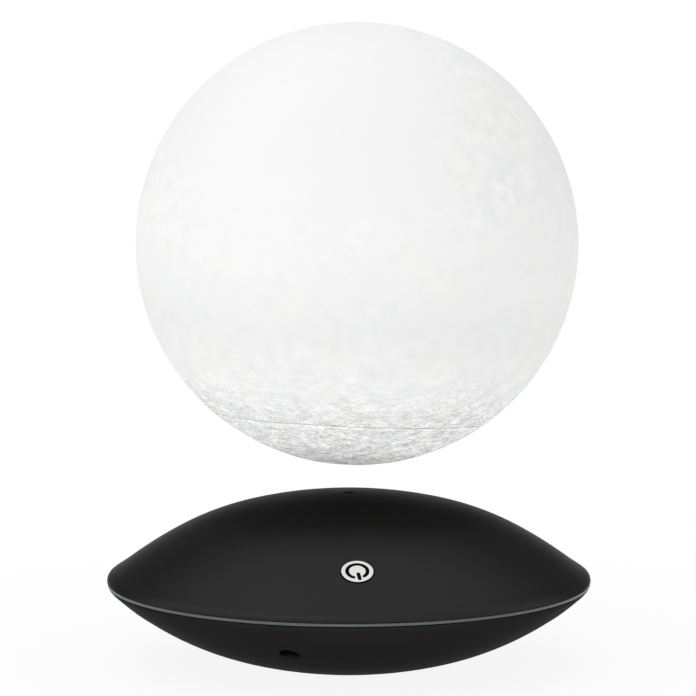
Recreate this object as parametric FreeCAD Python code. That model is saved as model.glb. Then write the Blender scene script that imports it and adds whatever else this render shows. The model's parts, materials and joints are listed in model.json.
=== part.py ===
import FreeCAD, Part
import math
import os

# A moon globe that hovers over a saucer base, held up by magnets and lit through a coil in the base.
# Lengths are in millimetres and angles in degrees. Z is up, the button faces -Y, the feet stand on Z = 0.

# Saucer base, outside
BASE_RADIUS = 82.4
SHELL_WALL = 2.4
FLAT_RADIUS = 29.5
FOOT_PROUD = 1.2

# Upper skin: three arcs and the roll at the rim, each tangent to the next
CROWN_ARC = 154.0
CROWN_REACH = 37.0
UPPER_SHOULDER_ARC = 94.0
UPPER_SHOULDER_INSET = 22.4
UPPER_FLANK_ARC = 149.0
UPPER_RIM_ROLL = 3.6
UPPER_RIM_TURN = 90.0

# Lower skin, the same way round from the keel
KEEL_ARC = 150.0
KEEL_REACH = 41.0
LOWER_SHOULDER_ARC = 102.0
LOWER_SHOULDER_INSET = 14.4
LOWER_FLANK_ARC = 209.0
LOWER_RIM_ROLL = 5.0
LOWER_RIM_TURN = 60.0
LOWER_RIM_STEP = 0.4

# Light ring between the two rims, and the strip that lights it
BAND_HEIGHT = 1.6
BAND_PROUD = 0.1
BAND_SLANT = 0.3
BAND_LIP = 3.9
BAND_WEB = 2.2
BAND_WEB_RISE = 0.8
STRIP_WIDTH = 4.6
STRIP_THICKNESS = 0.4
STRIP_LEDS = 24
STRIP_LED_LENGTH = 3.5
STRIP_LED_HEIGHT = 2.8
STRIP_LED_DEPTH = 1.3
STRIP_TAPE = 0.1
STRIP_RIB_WALL = 1.6

# Clearances
SLIDE_GAP = 0.15
SEAT_GAP = 0.2
LOOSE_GAP = 0.3
SHANK_GAP = 0.05
SCREW_SPARE = 1.0

# Screws that close the case, deep in round wells of the lower shell
CASE_SCREWS = 4
CASE_SCREW_INSET = 16.4
CASE_SCREW_TURN = -19.2
CASE_SEAT_DROP = 4.6
CASE_SEAT_FLOOR = 2.4
CASE_SHANK_RADIUS = 1.45
CASE_SHANK_LENGTH = 10.0
CASE_HEAD_RADIUS = 2.8
CASE_HEAD_HEIGHT = 2.0
WELL_RADIUS = 3.45
WELL_WALL = 2.0
CASE_BOSS_RADIUS = 4.0

# Small screws, all of one thread and head
SHANK_RADIUS = 1.2
HEAD_RADIUS = 2.2
HEAD_HEIGHT = 1.6
CHASSIS_SHANK_LENGTH = 8.0
BOARD_SHANK_LENGTH = 5.5
SWITCH_SHANK_LENGTH = 4.5
TRAY_SHANK_LENGTH = 6.0
LIGHT_SHANK_LENGTH = 5.0

# Chassis that carries the magnet and the coils, hung from bosses of the upper shell
CHASSIS_RISE = 2.0
CHASSIS_THICKNESS = 2.5
CHASSIS_EDGE = 2.0
CHASSIS_SCREWS = 4
CHASSIS_SCREW_TURN = 45.0
CHASSIS_BOSS_RADIUS = 3.2
CHASSIS_BOSS_GAP = 1.8
CHASSIS_EAR = 4.8
COLLAR_WALL = 1.8
COLLAR_HEIGHT = 5.0
CHASSIS_SLOTS = 8
CHASSIS_SLOT_LENGTH = 12.0
CHASSIS_SLOT_WIDTH = 5.0
CHASSIS_HUB_HOLE = 9.0

# Ring magnet and the power coil that lies on it
MAGNET_INNER = 33.0
MAGNET_OUTER = 50.0
MAGNET_HEIGHT = 12.0
POWER_COIL_INNER = 36.0
POWER_COIL_OUTER = 48.0
POWER_COIL_HEIGHT = 1.2

# Four steering coils round the position sensors
BOARD_THICKNESS = 1.6
COILS = 4
COIL_CIRCLE = 18.0
COIL_HEIGHT = 16.0
COIL_FLANGE_RADIUS = 11.6
COIL_FLANGE = 1.2
COIL_BARREL = 1.0
CORE_RADIUS = 3.5
WINDING_RADIUS = 10.8

# Sensor board on its post, and the lamp below the crown's hole
SENSOR_BOARD = 12.0
SENSOR_BOARD_THICKNESS = 1.0
SENSOR_POST_RADIUS = 3.0
SENSOR_POST_HEIGHT = 13.9
SENSOR_LENGTH = 4.0
SENSOR_WIDTH = 1.6
SENSOR_HEIGHT = 3.0
SENSOR_OFFSET = 4.2
PILOT_RADIUS = 1.5
PILOT_FLANGE = 0.4
PILOT_FLANGE_HEIGHT = 1.0
PILOT_HEIGHT = 5.3
PILOT_NOSE = 0.8
CROWN_HOLE_RADIUS = 2.0

# Control board under the chassis
CONTROL_HALF_WIDTH = 34.0
CONTROL_FRONT = -40.0
CONTROL_CORNER = 6.0
STANDOFF_RADIUS = 3.0
STANDOFF_INSET = 5.0
STANDOFF_REAR = 38.3
CAN_RADIUS = 4.0
CAN_HEIGHT = 11.5
CAN_EDGE = 0.5
CANS = 3
CAN_PITCH = 10.0
CAN_X = -20.0
CAN_Y = -14.0
CHOKE_RADIUS = 7.0
CHOKE_WAIST = 5.5
CHOKE_HEIGHT = 6.5
CHOKE_FLANGE = 1.2
CHOKES = 2
CHOKE_PITCH = 16.0
CHOKE_X = 18.0
CHOKE_Y = 6.0
CHIP_SIZE = 7.0
CHIP_HEIGHT = 1.5
CHIP_PITCH = 13.0
CHIPS = 4
CHIP_Y = -24.5
PLUG_SOCKET_LENGTH = 9.0
PLUG_SOCKET_WIDTH = 5.6
PLUG_SOCKET_HEIGHT = 6.0
PLUG_SOCKET_WALL = 1.0
PLUG_SOCKET_ROOF = 1.5
PLUG_SOCKETS = 3
PLUG_SOCKET_PITCH = 14.0
PLUG_SOCKET_Y = -33.0

# Leads inside the base and the moon, the plugs on two of them, and the pins between the boards
LEAD_RADIUS = 0.7
LEAD_SIDES = 8
THIN_LEAD_RADIUS = 0.5
LEAD_HOLE_RADIUS = 1.1
LEAD_ARC_SHARE = 0.45
PLUG_SHOWN = 1.5
PLUG_LEAD_DROP = 5.0
PLUG_LEAD_DIP = 3.6
PLUG_LEAD_SIDE = 3.0
PLUG_LEAD_BEFORE = 4.5
SWITCH_LEAD_X = 5.0
SWITCH_LEAD_OUT = 9.0
STRIP_LEAD_TURN = -45.0
STRIP_LEAD_OUT = 7.6
COIL_LEAD_TURN = -90.0
COIL_LEAD_OUT = 1.2
COIL_LEAD_DROP = 8.1
COIL_LEAD_EDGE = 1.6
COIL_LEAD_IN = 5.0
RECEIVE_LEAD_DROP = 0.7
RECEIVE_LEAD_OUT = 2.4
RECEIVE_LEAD_END = 28.2
HEADER_LENGTH = 12.0
HEADER_WIDTH = 5.0
SENSOR_PIN_RADIUS = 0.35
SENSOR_PIN_INSET = 1.8

# Power jack at the back, in a notch that lets the plug's grip pass under the rim
JACK_WIDTH = 9.0
JACK_LENGTH = 14.0
JACK_ABOVE = 6.5
JACK_BELOW = 4.5
JACK_OVERHANG = 1.5
JACK_BORE_RADIUS = 3.2
JACK_BORE_DEPTH = 9.5
JACK_PIN_RADIUS = 1.0
JACK_PIN_LENGTH = 8.0
JACK_PIN_NOSE = 0.4
JACK_WINDOW_RADIUS = 3.8
NOTCH_INSET = 24.4
NOTCH_HALF_WIDTH = 6.0
NOTCH_RISE = 5.2
NOTCH_WALL = 2.0

# Power button on the front flank
BUTTON_INSET = 17.9
BUTTON_RADIUS = 5.5
BUTTON_PROUD = 0.15
BUTTON_CHAMFER = 0.3
BUTTON_TRAVEL = 0.6
BUTTON_LIP = 1.2
BUTTON_FLANGE = 0.8
BUTTON_STEM_RADIUS = 2.0
BUTTON_STEM = 0.9
PLUNGER_RADIUS = 1.7
PLUNGER_SHOWN = 1.1
PLUNGER_SUNK = 0.9
SWITCH_SIZE = 6.2
SWITCH_HEIGHT = 3.0
SWITCH_BOARD_WIDTH = 9.0
SWITCH_BOARD_THICKNESS = 1.2
SWITCH_BOSS_RADIUS = 2.3
SWITCH_BOSS_GAP = 0.7
SWITCH_BOSS_INSET = 2.8

# Rubber feet in their recesses
FEET = 4
FEET_TURN = 45.0
FOOT_RADIUS = 4.5
FOOT_CIRCLE = 18.0
FOOT_SUNK = 0.8
FOOT_EDGE = 0.4

# Moon
MOON_RADIUS = 75.0
MOON_WALL = 2.0
MOON_BANDS = 10
HOVER_GAP = 9.5
LEAN_RIGHT = 2.6
LEAN_BACK = 3.5
SEAM_RADIUS = 45.9
SEAM_STEP_RADIUS = 44.4
SEAM_STEP_HEIGHT = 1.2
CAP_RING_INNER = 41.6

# Magnet that floats, sealed in the moon's lower cap
FLOAT_RADIUS = 25.0
FLOAT_HEIGHT = 8.0
FLOAT_WALL_HEIGHT = 6.5
FLOAT_WALL = 1.6
RECEIVE_COIL_WIDTH = 4.0
RECEIVE_COIL_HEIGHT = 3.0
FERRITE_THICKNESS = 0.4
TRAY_THICKNESS = 2.0
TRAY_SCREWS = 3
TRAY_BOSS_GAP = 1.0
TRAY_SCREW_TURN = 60.0
TRAY_BOSS_RADIUS = 2.8

# Light board of the moon
LIGHT_BOARD_RADIUS = 30.0
LIGHT_POSTS = 3
LIGHT_POST_RADIUS = 2.6
LIGHT_POST_HEIGHT = 4.0
LIGHT_POST_CIRCLE = 24.0
MOON_LEDS = 8
MOON_LED_CIRCLE = 17.0
MOON_LED_TURN = 22.5
MOON_LED_SIZE = 5.0
MOON_LED_HEIGHT = 1.6
REGULATOR_SIZE = 6.0
REGULATOR_HEIGHT = 2.0
REGULATOR_CIRCLE = 14.0
REGULATORS = 3
REGULATOR_TURN = 60.0

UP = FreeCAD.Vector(0, 0, 1)
CENTRE = FreeCAD.Vector(0, 0, 0)


class Skin:
    """A saucer's skin: tangent arcs from its pole on the axis out to the rim.

    side is 1 where the skin bulges up and -1 where it bulges down. An angle is the skin's slope from level,
    and a point set in from the skin lies on the same arc drawn with its radius cut by that inset.
    """

    def __init__(self, side, rim_height, rim_radius, rim_turn, rim_roll, pole_arc, pole_reach,
                 shoulder_arc, shoulder_inset, flank_arc):
        self.side = side
        self.rim_height = rim_height
        self.arcs = [pole_arc, shoulder_arc, flank_arc, rim_roll]
        pole_sine = pole_reach / pole_arc
        shoulder_reach = rim_radius - shoulder_inset
        shoulder_sine = pole_sine + (shoulder_reach - pole_reach) / shoulder_arc
        end_sine = math.sin(math.radians(rim_turn))
        flank_run = shoulder_inset + flank_arc * shoulder_sine - rim_roll * end_sine
        flank_sine = flank_run / (flank_arc - rim_roll)
        self.angles = [math.asin(sine) for sine in (0.0, pole_sine, shoulder_sine, flank_sine, end_sine)]
        self.centres = [(0.0, -pole_arc)]
        for index in range(1, len(self.arcs)):
            step = self.arcs[index - 1] - self.arcs[index]
            radius, height = self.centres[-1]
            radius += step * math.sin(self.angles[index])
            height += step * math.cos(self.angles[index])
            self.centres.append((radius, height))
        self.rise = -(self.centres[-1][1] + rim_roll * math.cos(self.angles[-1]))
        self.pole_height = rim_height + side * self.rise

    def point(self, index, angle, inset=0.0):
        radius, height = self.centres[index]
        reach = self.arcs[index] - inset
        drop = height + reach * math.cos(angle)
        return FreeCAD.Vector(radius + reach * math.sin(angle), 0, self.pole_height + self.side * drop)

    def at_radius(self, radius):
        """Arc number and slope angle where the skin is this far from the axis."""
        for index in range(len(self.arcs)):
            sine = (radius - self.centres[index][0]) / self.arcs[index]
            if sine <= math.sin(self.angles[index + 1]):
                return index, math.asin(sine)
        return len(self.arcs) - 1, self.angles[-1]

    def outer_edges(self, first_index, first_angle):
        """True arcs of the outside, from the given place out to the rim."""
        edges = []
        start = first_angle
        for index in range(first_index, len(self.arcs)):
            end = self.angles[index + 1]
            middle = (start + end) / 2
            arc = Part.Arc(self.point(index, start), self.point(index, middle), self.point(index, end))
            edges.append(arc.toShape())
            start = end
        return edges

    def inner_points(self, inset, first_index, first_angle):
        """Corners of the short cones that follow the outside at the wall's thickness, two to an arc.

        The last cone ends in the plane of the rim.
        """
        points = [self.point(first_index, first_angle, inset)]
        start = first_angle
        for index in range(first_index, len(self.arcs)):
            end = self.angles[index + 1]
            if index < len(self.arcs) - 1:
                points.append(self.point(index, (start + end) / 2, inset))
            points.append(self.point(index, end, inset))
            start = end
        return self.up_to_rim(points)

    def up_to_rim(self, points):
        """The same corners, with the line that crosses the plane of the rim ended there."""
        kept = points[:1]
        for point in points[1:]:
            left = self.side * (kept[-1].z - self.rim_height)
            run = self.side * (kept[-1].z - point.z)
            if run >= left:
                kept.append(kept[-1] + (point - kept[-1]) * (left / run))
                return kept
            kept.append(point)
        return kept


def cylinder(radius, bottom, top, x=0.0, y=0.0):
    return Part.makeCylinder(radius, top - bottom, FreeCAD.Vector(x, y, bottom))


def tube(outer, inner, bottom, top, x=0.0, y=0.0):
    return cylinder(outer, bottom, top, x, y).cut(cylinder(inner, bottom, top, x, y))


def along_y(radius, start, end, height):
    """Round bar on the Y axis at a height."""
    return Part.makeCylinder(radius, end - start, FreeCAD.Vector(0, start, height), FreeCAD.Vector(0, 1, 0))


def block(x_low, x_high, y_low, y_high, bottom, top):
    corner = FreeCAD.Vector(x_low, y_low, bottom)
    return Part.makeBox(x_high - x_low, y_high - y_low, top - bottom, corner)


def centred_block(x, y, length, width, bottom, top):
    return block(x - length / 2, x + length / 2, y - width / 2, y + width / 2, bottom, top)


def joined(pieces):
    return pieces[0].multiFuse(pieces[1:]).removeSplitter()


def lines(points):
    return [Part.LineSegment(a, b).toShape() for a, b in zip(points, points[1:])]


def turned(edges):
    """Solid made by turning a closed outline in the XZ plane once round the Z axis."""
    face = Part.Face(Part.Wire(edges))
    return face.revolve(CENTRE, UP, 360)


def turned_polygon(corners):
    points = [FreeCAD.Vector(radius, 0, height) for radius, height in corners]
    return turned(lines(points + points[:1]))


def around(count, radius, first_angle):
    """Places spaced evenly on a circle, with angles counted from the front towards +X."""
    places = []
    for number in range(count):
        angle = math.radians(first_angle + 360.0 * number / count)
        places.append((radius * math.sin(angle), -radius * math.cos(angle)))
    return places


def screw(shank_radius, shank_length, head_radius, head_height, x, y, seat, direction):
    """Round-headed screw whose head stands on the seat and whose shank runs up (1) or down (-1)."""
    head_end = seat - direction * head_height
    tip = seat + direction * shank_length
    head = cylinder(head_radius, min(seat, head_end), max(seat, head_end), x, y)
    shank = cylinder(shank_radius, min(seat, tip), max(seat, tip), x, y)
    return joined([head, shank])


def small_screws(places, seat, shank_length, direction):
    return [screw(SHANK_RADIUS, shank_length, HEAD_RADIUS, HEAD_HEIGHT, x, y, seat, direction) for x, y in places]


# Heights and radii that follow from the sizes above
lower_probe = Skin(-1, 0.0, BASE_RADIUS - LOWER_RIM_STEP, LOWER_RIM_TURN, LOWER_RIM_ROLL, KEEL_ARC, KEEL_REACH,
                   LOWER_SHOULDER_ARC, LOWER_SHOULDER_INSET - LOWER_RIM_STEP, LOWER_FLANK_ARC)
flat_index, flat_angle = lower_probe.at_radius(FLAT_RADIUS)
lower_depth = -lower_probe.point(flat_index, flat_angle).z
lower_rim = FOOT_PROUD + lower_depth
upper_rim = lower_rim + BAND_HEIGHT
upper_skin = Skin(1, upper_rim, BASE_RADIUS, UPPER_RIM_TURN, UPPER_RIM_ROLL, CROWN_ARC, CROWN_REACH,
                  UPPER_SHOULDER_ARC, UPPER_SHOULDER_INSET, UPPER_FLANK_ARC)
lower_skin = Skin(-1, lower_rim, BASE_RADIUS - LOWER_RIM_STEP, LOWER_RIM_TURN, LOWER_RIM_ROLL, KEEL_ARC,
                  KEEL_REACH, LOWER_SHOULDER_ARC, LOWER_SHOULDER_INSET - LOWER_RIM_STEP, LOWER_FLANK_ARC)
crown = upper_skin.pole_height

band_inner = BASE_RADIUS - BAND_LIP
web_inner = band_inner - BAND_WEB
strip_led_face = web_inner - LOOSE_GAP
strip_outer = strip_led_face - STRIP_LED_DEPTH
strip_inner = strip_outer - STRIP_THICKNESS
rib_outer = strip_inner - STRIP_TAPE
rib_inner = rib_outer - STRIP_RIB_WALL
strip_middle = upper_rim - BAND_HEIGHT / 2
strip_bottom = strip_middle - STRIP_WIDTH / 2
rib_bottom = strip_bottom - SEAT_GAP

case_seat = upper_rim - CASE_SEAT_DROP
case_places = around(CASE_SCREWS, BASE_RADIUS - CASE_SCREW_INSET, CASE_SCREW_TURN)
foot_places = around(FEET, FOOT_CIRCLE, FEET_TURN)

chassis_bottom = upper_rim + CHASSIS_RISE
chassis_top = chassis_bottom + CHASSIS_THICKNESS
collar_outer = MAGNET_OUTER + LOOSE_GAP
collar_inner = MAGNET_INNER - LOOSE_GAP
plate_radius = collar_outer + COLLAR_WALL + CHASSIS_EDGE
chassis_screw_circle = collar_outer + COLLAR_WALL + CHASSIS_BOSS_GAP + CHASSIS_BOSS_RADIUS
chassis_places = around(CHASSIS_SCREWS, chassis_screw_circle, CHASSIS_SCREW_TURN)

magnet_top = chassis_top + MAGNET_HEIGHT
coil_board_radius = collar_inner - COLLAR_WALL - LOOSE_GAP
coil_base = chassis_top + BOARD_THICKNESS
coil_top = coil_base + COIL_HEIGHT
coil_places = around(COILS, COIL_CIRCLE, 0.0)
sensor_board_bottom = coil_base + SENSOR_POST_HEIGHT
sensor_board_top = sensor_board_bottom + SENSOR_BOARD_THICKNESS

notch_back = BASE_RADIUS - NOTCH_INSET
notch_ceiling = rib_bottom - SEAT_GAP - NOTCH_WALL
jack_axis = notch_ceiling - NOTCH_RISE
jack_mouth = notch_back - NOTCH_WALL - SEAT_GAP
jack_floor = jack_mouth - JACK_BORE_DEPTH
control_bottom = jack_axis + JACK_ABOVE
control_top = control_bottom + BOARD_THICKNESS
control_rear = jack_mouth - JACK_OVERHANG
standoff_y = (CONTROL_FRONT + STANDOFF_INSET, STANDOFF_REAR)
standoff_x = CONTROL_HALF_WIDTH - STANDOFF_INSET
standoff_places = [(side * standoff_x, y) for side in (-1, 1) for y in standoff_y]

button_radius_place = BASE_RADIUS - BUTTON_INSET
button_index, button_slope = upper_skin.at_radius(button_radius_place)
button_point = upper_skin.point(button_index, button_slope)
flange_top = -(SHELL_WALL + LOOSE_GAP)
flange_bottom = flange_top - BUTTON_FLANGE
plunger_top = flange_bottom - BUTTON_STEM
switch_top = plunger_top - PLUNGER_SHOWN
switch_bottom = switch_top - SWITCH_HEIGHT
switch_board_bottom = switch_bottom - SWITCH_BOARD_THICKNESS
flange_radius = BUTTON_RADIUS + BUTTON_LIP
switch_boss_x = flange_radius + SWITCH_BOSS_GAP + SWITCH_BOSS_RADIUS
switch_board_length = 2 * (switch_boss_x + SWITCH_BOSS_INSET)
switch_places = [(-switch_boss_x, 0.0), (switch_boss_x, 0.0)]
button_turn = FreeCAD.Rotation(FreeCAD.Vector(1, 0, 0), math.degrees(button_slope))
button_place = FreeCAD.Placement(FreeCAD.Vector(0, -button_point.x, button_point.z), button_turn)

plug_bottom = control_bottom - PLUG_SOCKET_HEIGHT - PLUG_SHOWN

# Heights inside the moon, counted from the moon's centre
seam = -math.sqrt(MOON_RADIUS ** 2 - SEAM_RADIUS ** 2)
pocket_radius = FLOAT_RADIUS + LOOSE_GAP
pocket_floor = -(math.sqrt(MOON_RADIUS ** 2 - pocket_radius ** 2) - MOON_WALL)
float_bottom = pocket_floor + SEAT_GAP
float_top = float_bottom + FLOAT_HEIGHT
float_middle = (float_bottom + float_top) / 2
ferrite_bottom = float_top + SEAT_GAP
tray_bottom = ferrite_bottom + FERRITE_THICKNESS
tray_top = tray_bottom + TRAY_THICKNESS
tray_radius = CAP_RING_INNER - LOOSE_GAP
receive_inner = pocket_radius + FLOAT_WALL + LOOSE_GAP
receive_outer = receive_inner + RECEIVE_COIL_WIDTH
receive_lead_radius = receive_outer + RECEIVE_LEAD_OUT
tray_screw_circle = receive_outer + TRAY_BOSS_GAP + TRAY_BOSS_RADIUS
tray_places = around(TRAY_SCREWS, tray_screw_circle, TRAY_SCREW_TURN)
light_board_bottom = tray_top + LIGHT_POST_HEIGHT
light_board_top = light_board_bottom + BOARD_THICKNESS
light_post_places = around(LIGHT_POSTS, LIGHT_POST_CIRCLE, 0.0)
hover_centre = crown + HOVER_GAP + MOON_RADIUS
moon_axis = FreeCAD.Vector(math.tan(math.radians(LEAN_RIGHT)), math.tan(math.radians(LEAN_BACK)), 1.0)
moon_axis.normalize()
pivot_height = hover_centre + float_middle * moon_axis.z
moon_place = FreeCAD.Placement(FreeCAD.Vector(0, 0, pivot_height), FreeCAD.Rotation(UP, moon_axis))
moon_place = moon_place.multiply(FreeCAD.Placement(FreeCAD.Vector(0, 0, -float_middle), FreeCAD.Rotation()))


def at(turn, radius, height):
    """Point at an angle counted from the front towards +X, at a radius and a height."""
    angle = math.radians(turn)
    return FreeCAD.Vector(radius * math.sin(angle), -radius * math.cos(angle), height)


def lead(name, points, radius):
    """Eight-sided lead along straight runs joined by tangent arcs, each as large as its two runs allow."""
    runs = [end - start for start, end in zip(points, points[1:])]
    edges = []
    bends = []
    last = points[0]
    for corner, run, following in zip(points[1:], runs, runs[1:]):
        half_turn = run.getAngle(following) / 2
        tangent = LEAD_ARC_SHARE * min(run.Length, following.Length)
        bend = tangent / math.tan(half_turn)
        back = FreeCAD.Vector(run).normalize()
        ahead = FreeCAD.Vector(following).normalize()
        inwards = (ahead - back).normalize()
        arc_start = corner - back * tangent
        arc_end = corner + ahead * tangent
        arc_middle = corner + inwards * (bend / math.cos(half_turn) - bend)
        edges.append(Part.LineSegment(last, arc_start).toShape())
        edges.append(Part.Arc(arc_start, arc_middle, arc_end).toShape())
        bends.append(round(bend, 1))
        last = arc_end
    edges.append(Part.LineSegment(last, points[-1]).toShape())
    path = Part.Wire(edges)
    across = UP if abs(runs[0].z) < runs[0].Length / 2 else FreeCAD.Vector(1, 0, 0)
    first = runs[0].cross(across).normalize() * radius
    turns = [FreeCAD.Rotation(runs[0], 360.0 * number / LEAD_SIDES) for number in range(LEAD_SIDES)]
    corners = [points[0] + turn.multVec(first) for turn in turns]
    section = Part.Wire(lines(corners + corners[:1]))
    solid = path.makePipeShell([section], True, False)
    area = LEAD_SIDES / 2 * radius ** 2 * math.sin(2 * math.pi / LEAD_SIDES)
    share = solid.Volume / (area * path.Length)
    print(name, "length", round(path.Length, 1), "bends", bends, "volume over section", round(share, 4))
    return solid


def up_to_plug(number):
    """Last points of a lead: before the board, a dip in front of its socket, then up into its plug."""
    x = in_a_row(PLUG_SOCKETS, PLUG_SOCKET_PITCH)[number]
    turn = plug_bottom - PLUG_LEAD_DROP
    return [FreeCAD.Vector(x - PLUG_LEAD_SIDE, CONTROL_FRONT - PLUG_LEAD_BEFORE, turn),
            FreeCAD.Vector(x, PLUG_SOCKET_Y - PLUG_LEAD_DIP, turn - PLUG_LEAD_DIP),
            FreeCAD.Vector(x, PLUG_SOCKET_Y, turn), FreeCAD.Vector(x, PLUG_SOCKET_Y, plug_bottom)]


def placed(shape, placement):
    return shape.transformed(placement.toMatrix(), copy=True)


def all_placed(shapes, placement):
    return [placed(shape, placement) for shape in shapes]


def shell(skin, first_index, first_angle):
    """Hollow saucer half with a flat rim. Where it starts off its pole, it has a flat middle."""
    outer = skin.outer_edges(first_index, first_angle)
    inner = skin.inner_points(SHELL_WALL, first_index, first_angle)
    outer_start = skin.point(first_index, first_angle)
    outer_end = skin.point(len(skin.arcs) - 1, skin.angles[-1])
    edges = list(outer)
    if first_angle > 0:
        edges = lines([FreeCAD.Vector(0, 0, outer_start.z), outer_start]) + edges
    back = [outer_end] + inner[::-1]
    if first_angle > 0:
        back.append(FreeCAD.Vector(0, 0, inner[0].z))
    back.append(FreeCAD.Vector(0, 0, outer_start.z))
    return turned(edges + lines(back))


def core(skin, reach):
    """Room inside the middle of the wall, carried past the rim to the given height."""
    points = skin.inner_points(SHELL_WALL / 2, 0, 0.0)
    points.append(FreeCAD.Vector(points[-1].x, 0, reach))
    points.append(FreeCAD.Vector(0, 0, reach))
    return turned(lines(points + points[:1]))


def upper_shell():
    """Upper saucer half with its screw bosses, the rib for the light strip and the button's stepped hole."""
    room = core(upper_skin, case_seat)
    inside = [tube(rib_outer, rib_inner, rib_bottom, crown)]
    for x, y in case_places:
        inside.append(cylinder(CASE_BOSS_RADIUS, case_seat, crown, x, y))
    for x, y in chassis_places:
        inside.append(cylinder(CHASSIS_BOSS_RADIUS, chassis_top, crown, x, y))
    for x, y in switch_places:
        inside.append(placed(cylinder(SWITCH_BOSS_RADIUS, switch_bottom, 0, x, y), button_place))
    trimmed = [piece.common(room) for piece in inside]
    body = joined([shell(upper_skin, 0, 0.0)] + trimmed)
    holes = [cylinder(CROWN_HOLE_RADIUS, chassis_top, crown + SHELL_WALL)]
    case_end = case_seat - CASE_SEAT_FLOOR + CASE_SHANK_LENGTH + SCREW_SPARE
    for x, y in case_places:
        holes.append(cylinder(CASE_SHANK_RADIUS + SHANK_GAP, case_seat, case_end, x, y))
    chassis_end = chassis_bottom + CHASSIS_SHANK_LENGTH + SCREW_SPARE
    for x, y in chassis_places:
        holes.append(cylinder(SHANK_RADIUS + SHANK_GAP, chassis_top, chassis_end, x, y))
    switch_end = switch_board_bottom + SWITCH_SHANK_LENGTH + SCREW_SPARE
    for x, y in switch_places:
        pilot = cylinder(SHANK_RADIUS + SHANK_GAP, switch_bottom, switch_end, x, y)
        holes.append(placed(pilot, button_place))
    holes.append(placed(cylinder(BUTTON_RADIUS + SLIDE_GAP, flange_bottom, SHELL_WALL), button_place))
    holes.append(placed(cylinder(flange_radius + LOOSE_GAP, plunger_top, -SHELL_WALL), button_place))
    strip_hole = along_y(LEAD_HOLE_RADIUS, -rib_outer - SEAT_GAP, -rib_inner + SEAT_GAP, strip_middle)
    holes.append(strip_hole.rotated(CENTRE, UP, STRIP_LEAD_TURN))
    return body.cut(Part.makeCompound(holes))


def lower_shell():
    """Lower saucer half with a flat bottom, the screw wells, the foot recesses and the jack's notch."""
    room = core(lower_skin, upper_rim)
    inside = [cylinder(WELL_RADIUS + WELL_WALL, 0, case_seat, x, y) for x, y in case_places]
    half = NOTCH_HALF_WIDTH
    housing_half = half + NOTCH_WALL
    housing_top = notch_ceiling + NOTCH_WALL
    inside.append(block(-housing_half, housing_half, notch_back - NOTCH_WALL, BASE_RADIUS, 0, housing_top))
    trimmed = [piece.common(room) for piece in inside]
    body = joined([shell(lower_skin, flat_index, flat_angle)] + trimmed)
    holes = [block(-half, half, notch_back, 2 * BASE_RADIUS, 0, notch_ceiling)]
    holes.append(along_y(JACK_WINDOW_RADIUS, notch_back - NOTCH_WALL, notch_back, jack_axis))
    for x, y in case_places:
        holes.append(cylinder(WELL_RADIUS, 0, case_seat - CASE_SEAT_FLOOR, x, y))
        holes.append(cylinder(CASE_SHANK_RADIUS + SEAT_GAP, 0, case_seat, x, y))
    for x, y in foot_places:
        holes.append(cylinder(FOOT_RADIUS + SEAT_GAP, 0, FOOT_PROUD + FOOT_SUNK, x, y))
    for hole in holes:
        body = body.cut(hole)
    return body


def light_ring():
    """Milky ring: a slanted band that shows between the rims, and a web behind it that takes the light."""
    return turned_polygon([
        (web_inner, lower_rim),
        (BASE_RADIUS + BAND_PROUD - BAND_SLANT, lower_rim),
        (BASE_RADIUS + BAND_PROUD, upper_rim),
        (band_inner, upper_rim),
        (band_inner, upper_rim + BAND_WEB_RISE),
        (web_inner, upper_rim + BAND_WEB_RISE),
    ])


def strip_leds():
    """Lamps of the strip, each with its back curved to the strip and its flat face to the ring."""
    half_length = STRIP_LED_LENGTH / 2
    half_height = STRIP_LED_HEIGHT / 2
    led = block(-half_length, half_length, rib_outer, strip_led_face, strip_middle - half_height,
                strip_middle + half_height)
    led = led.cut(cylinder(strip_outer, strip_bottom, strip_bottom + STRIP_WIDTH))
    return [led.rotated(CENTRE, UP, 360.0 * number / STRIP_LEDS) for number in range(STRIP_LEDS)]


def case_screws():
    seat = case_seat - CASE_SEAT_FLOOR
    return [screw(CASE_SHANK_RADIUS, CASE_SHANK_LENGTH, CASE_HEAD_RADIUS, CASE_HEAD_HEIGHT, x, y, seat, 1)
            for x, y in case_places]


def rubber_feet():
    feet = []
    for x, y in foot_places:
        foot = cylinder(FOOT_RADIUS, 0, FOOT_PROUD + FOOT_SUNK, x, y)
        sole = [edge for edge in foot.Edges if edge.BoundBox.ZMax < FOOT_PROUD / 2]
        feet.append(foot.makeChamfer(FOOT_EDGE, sole))
    return feet


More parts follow.
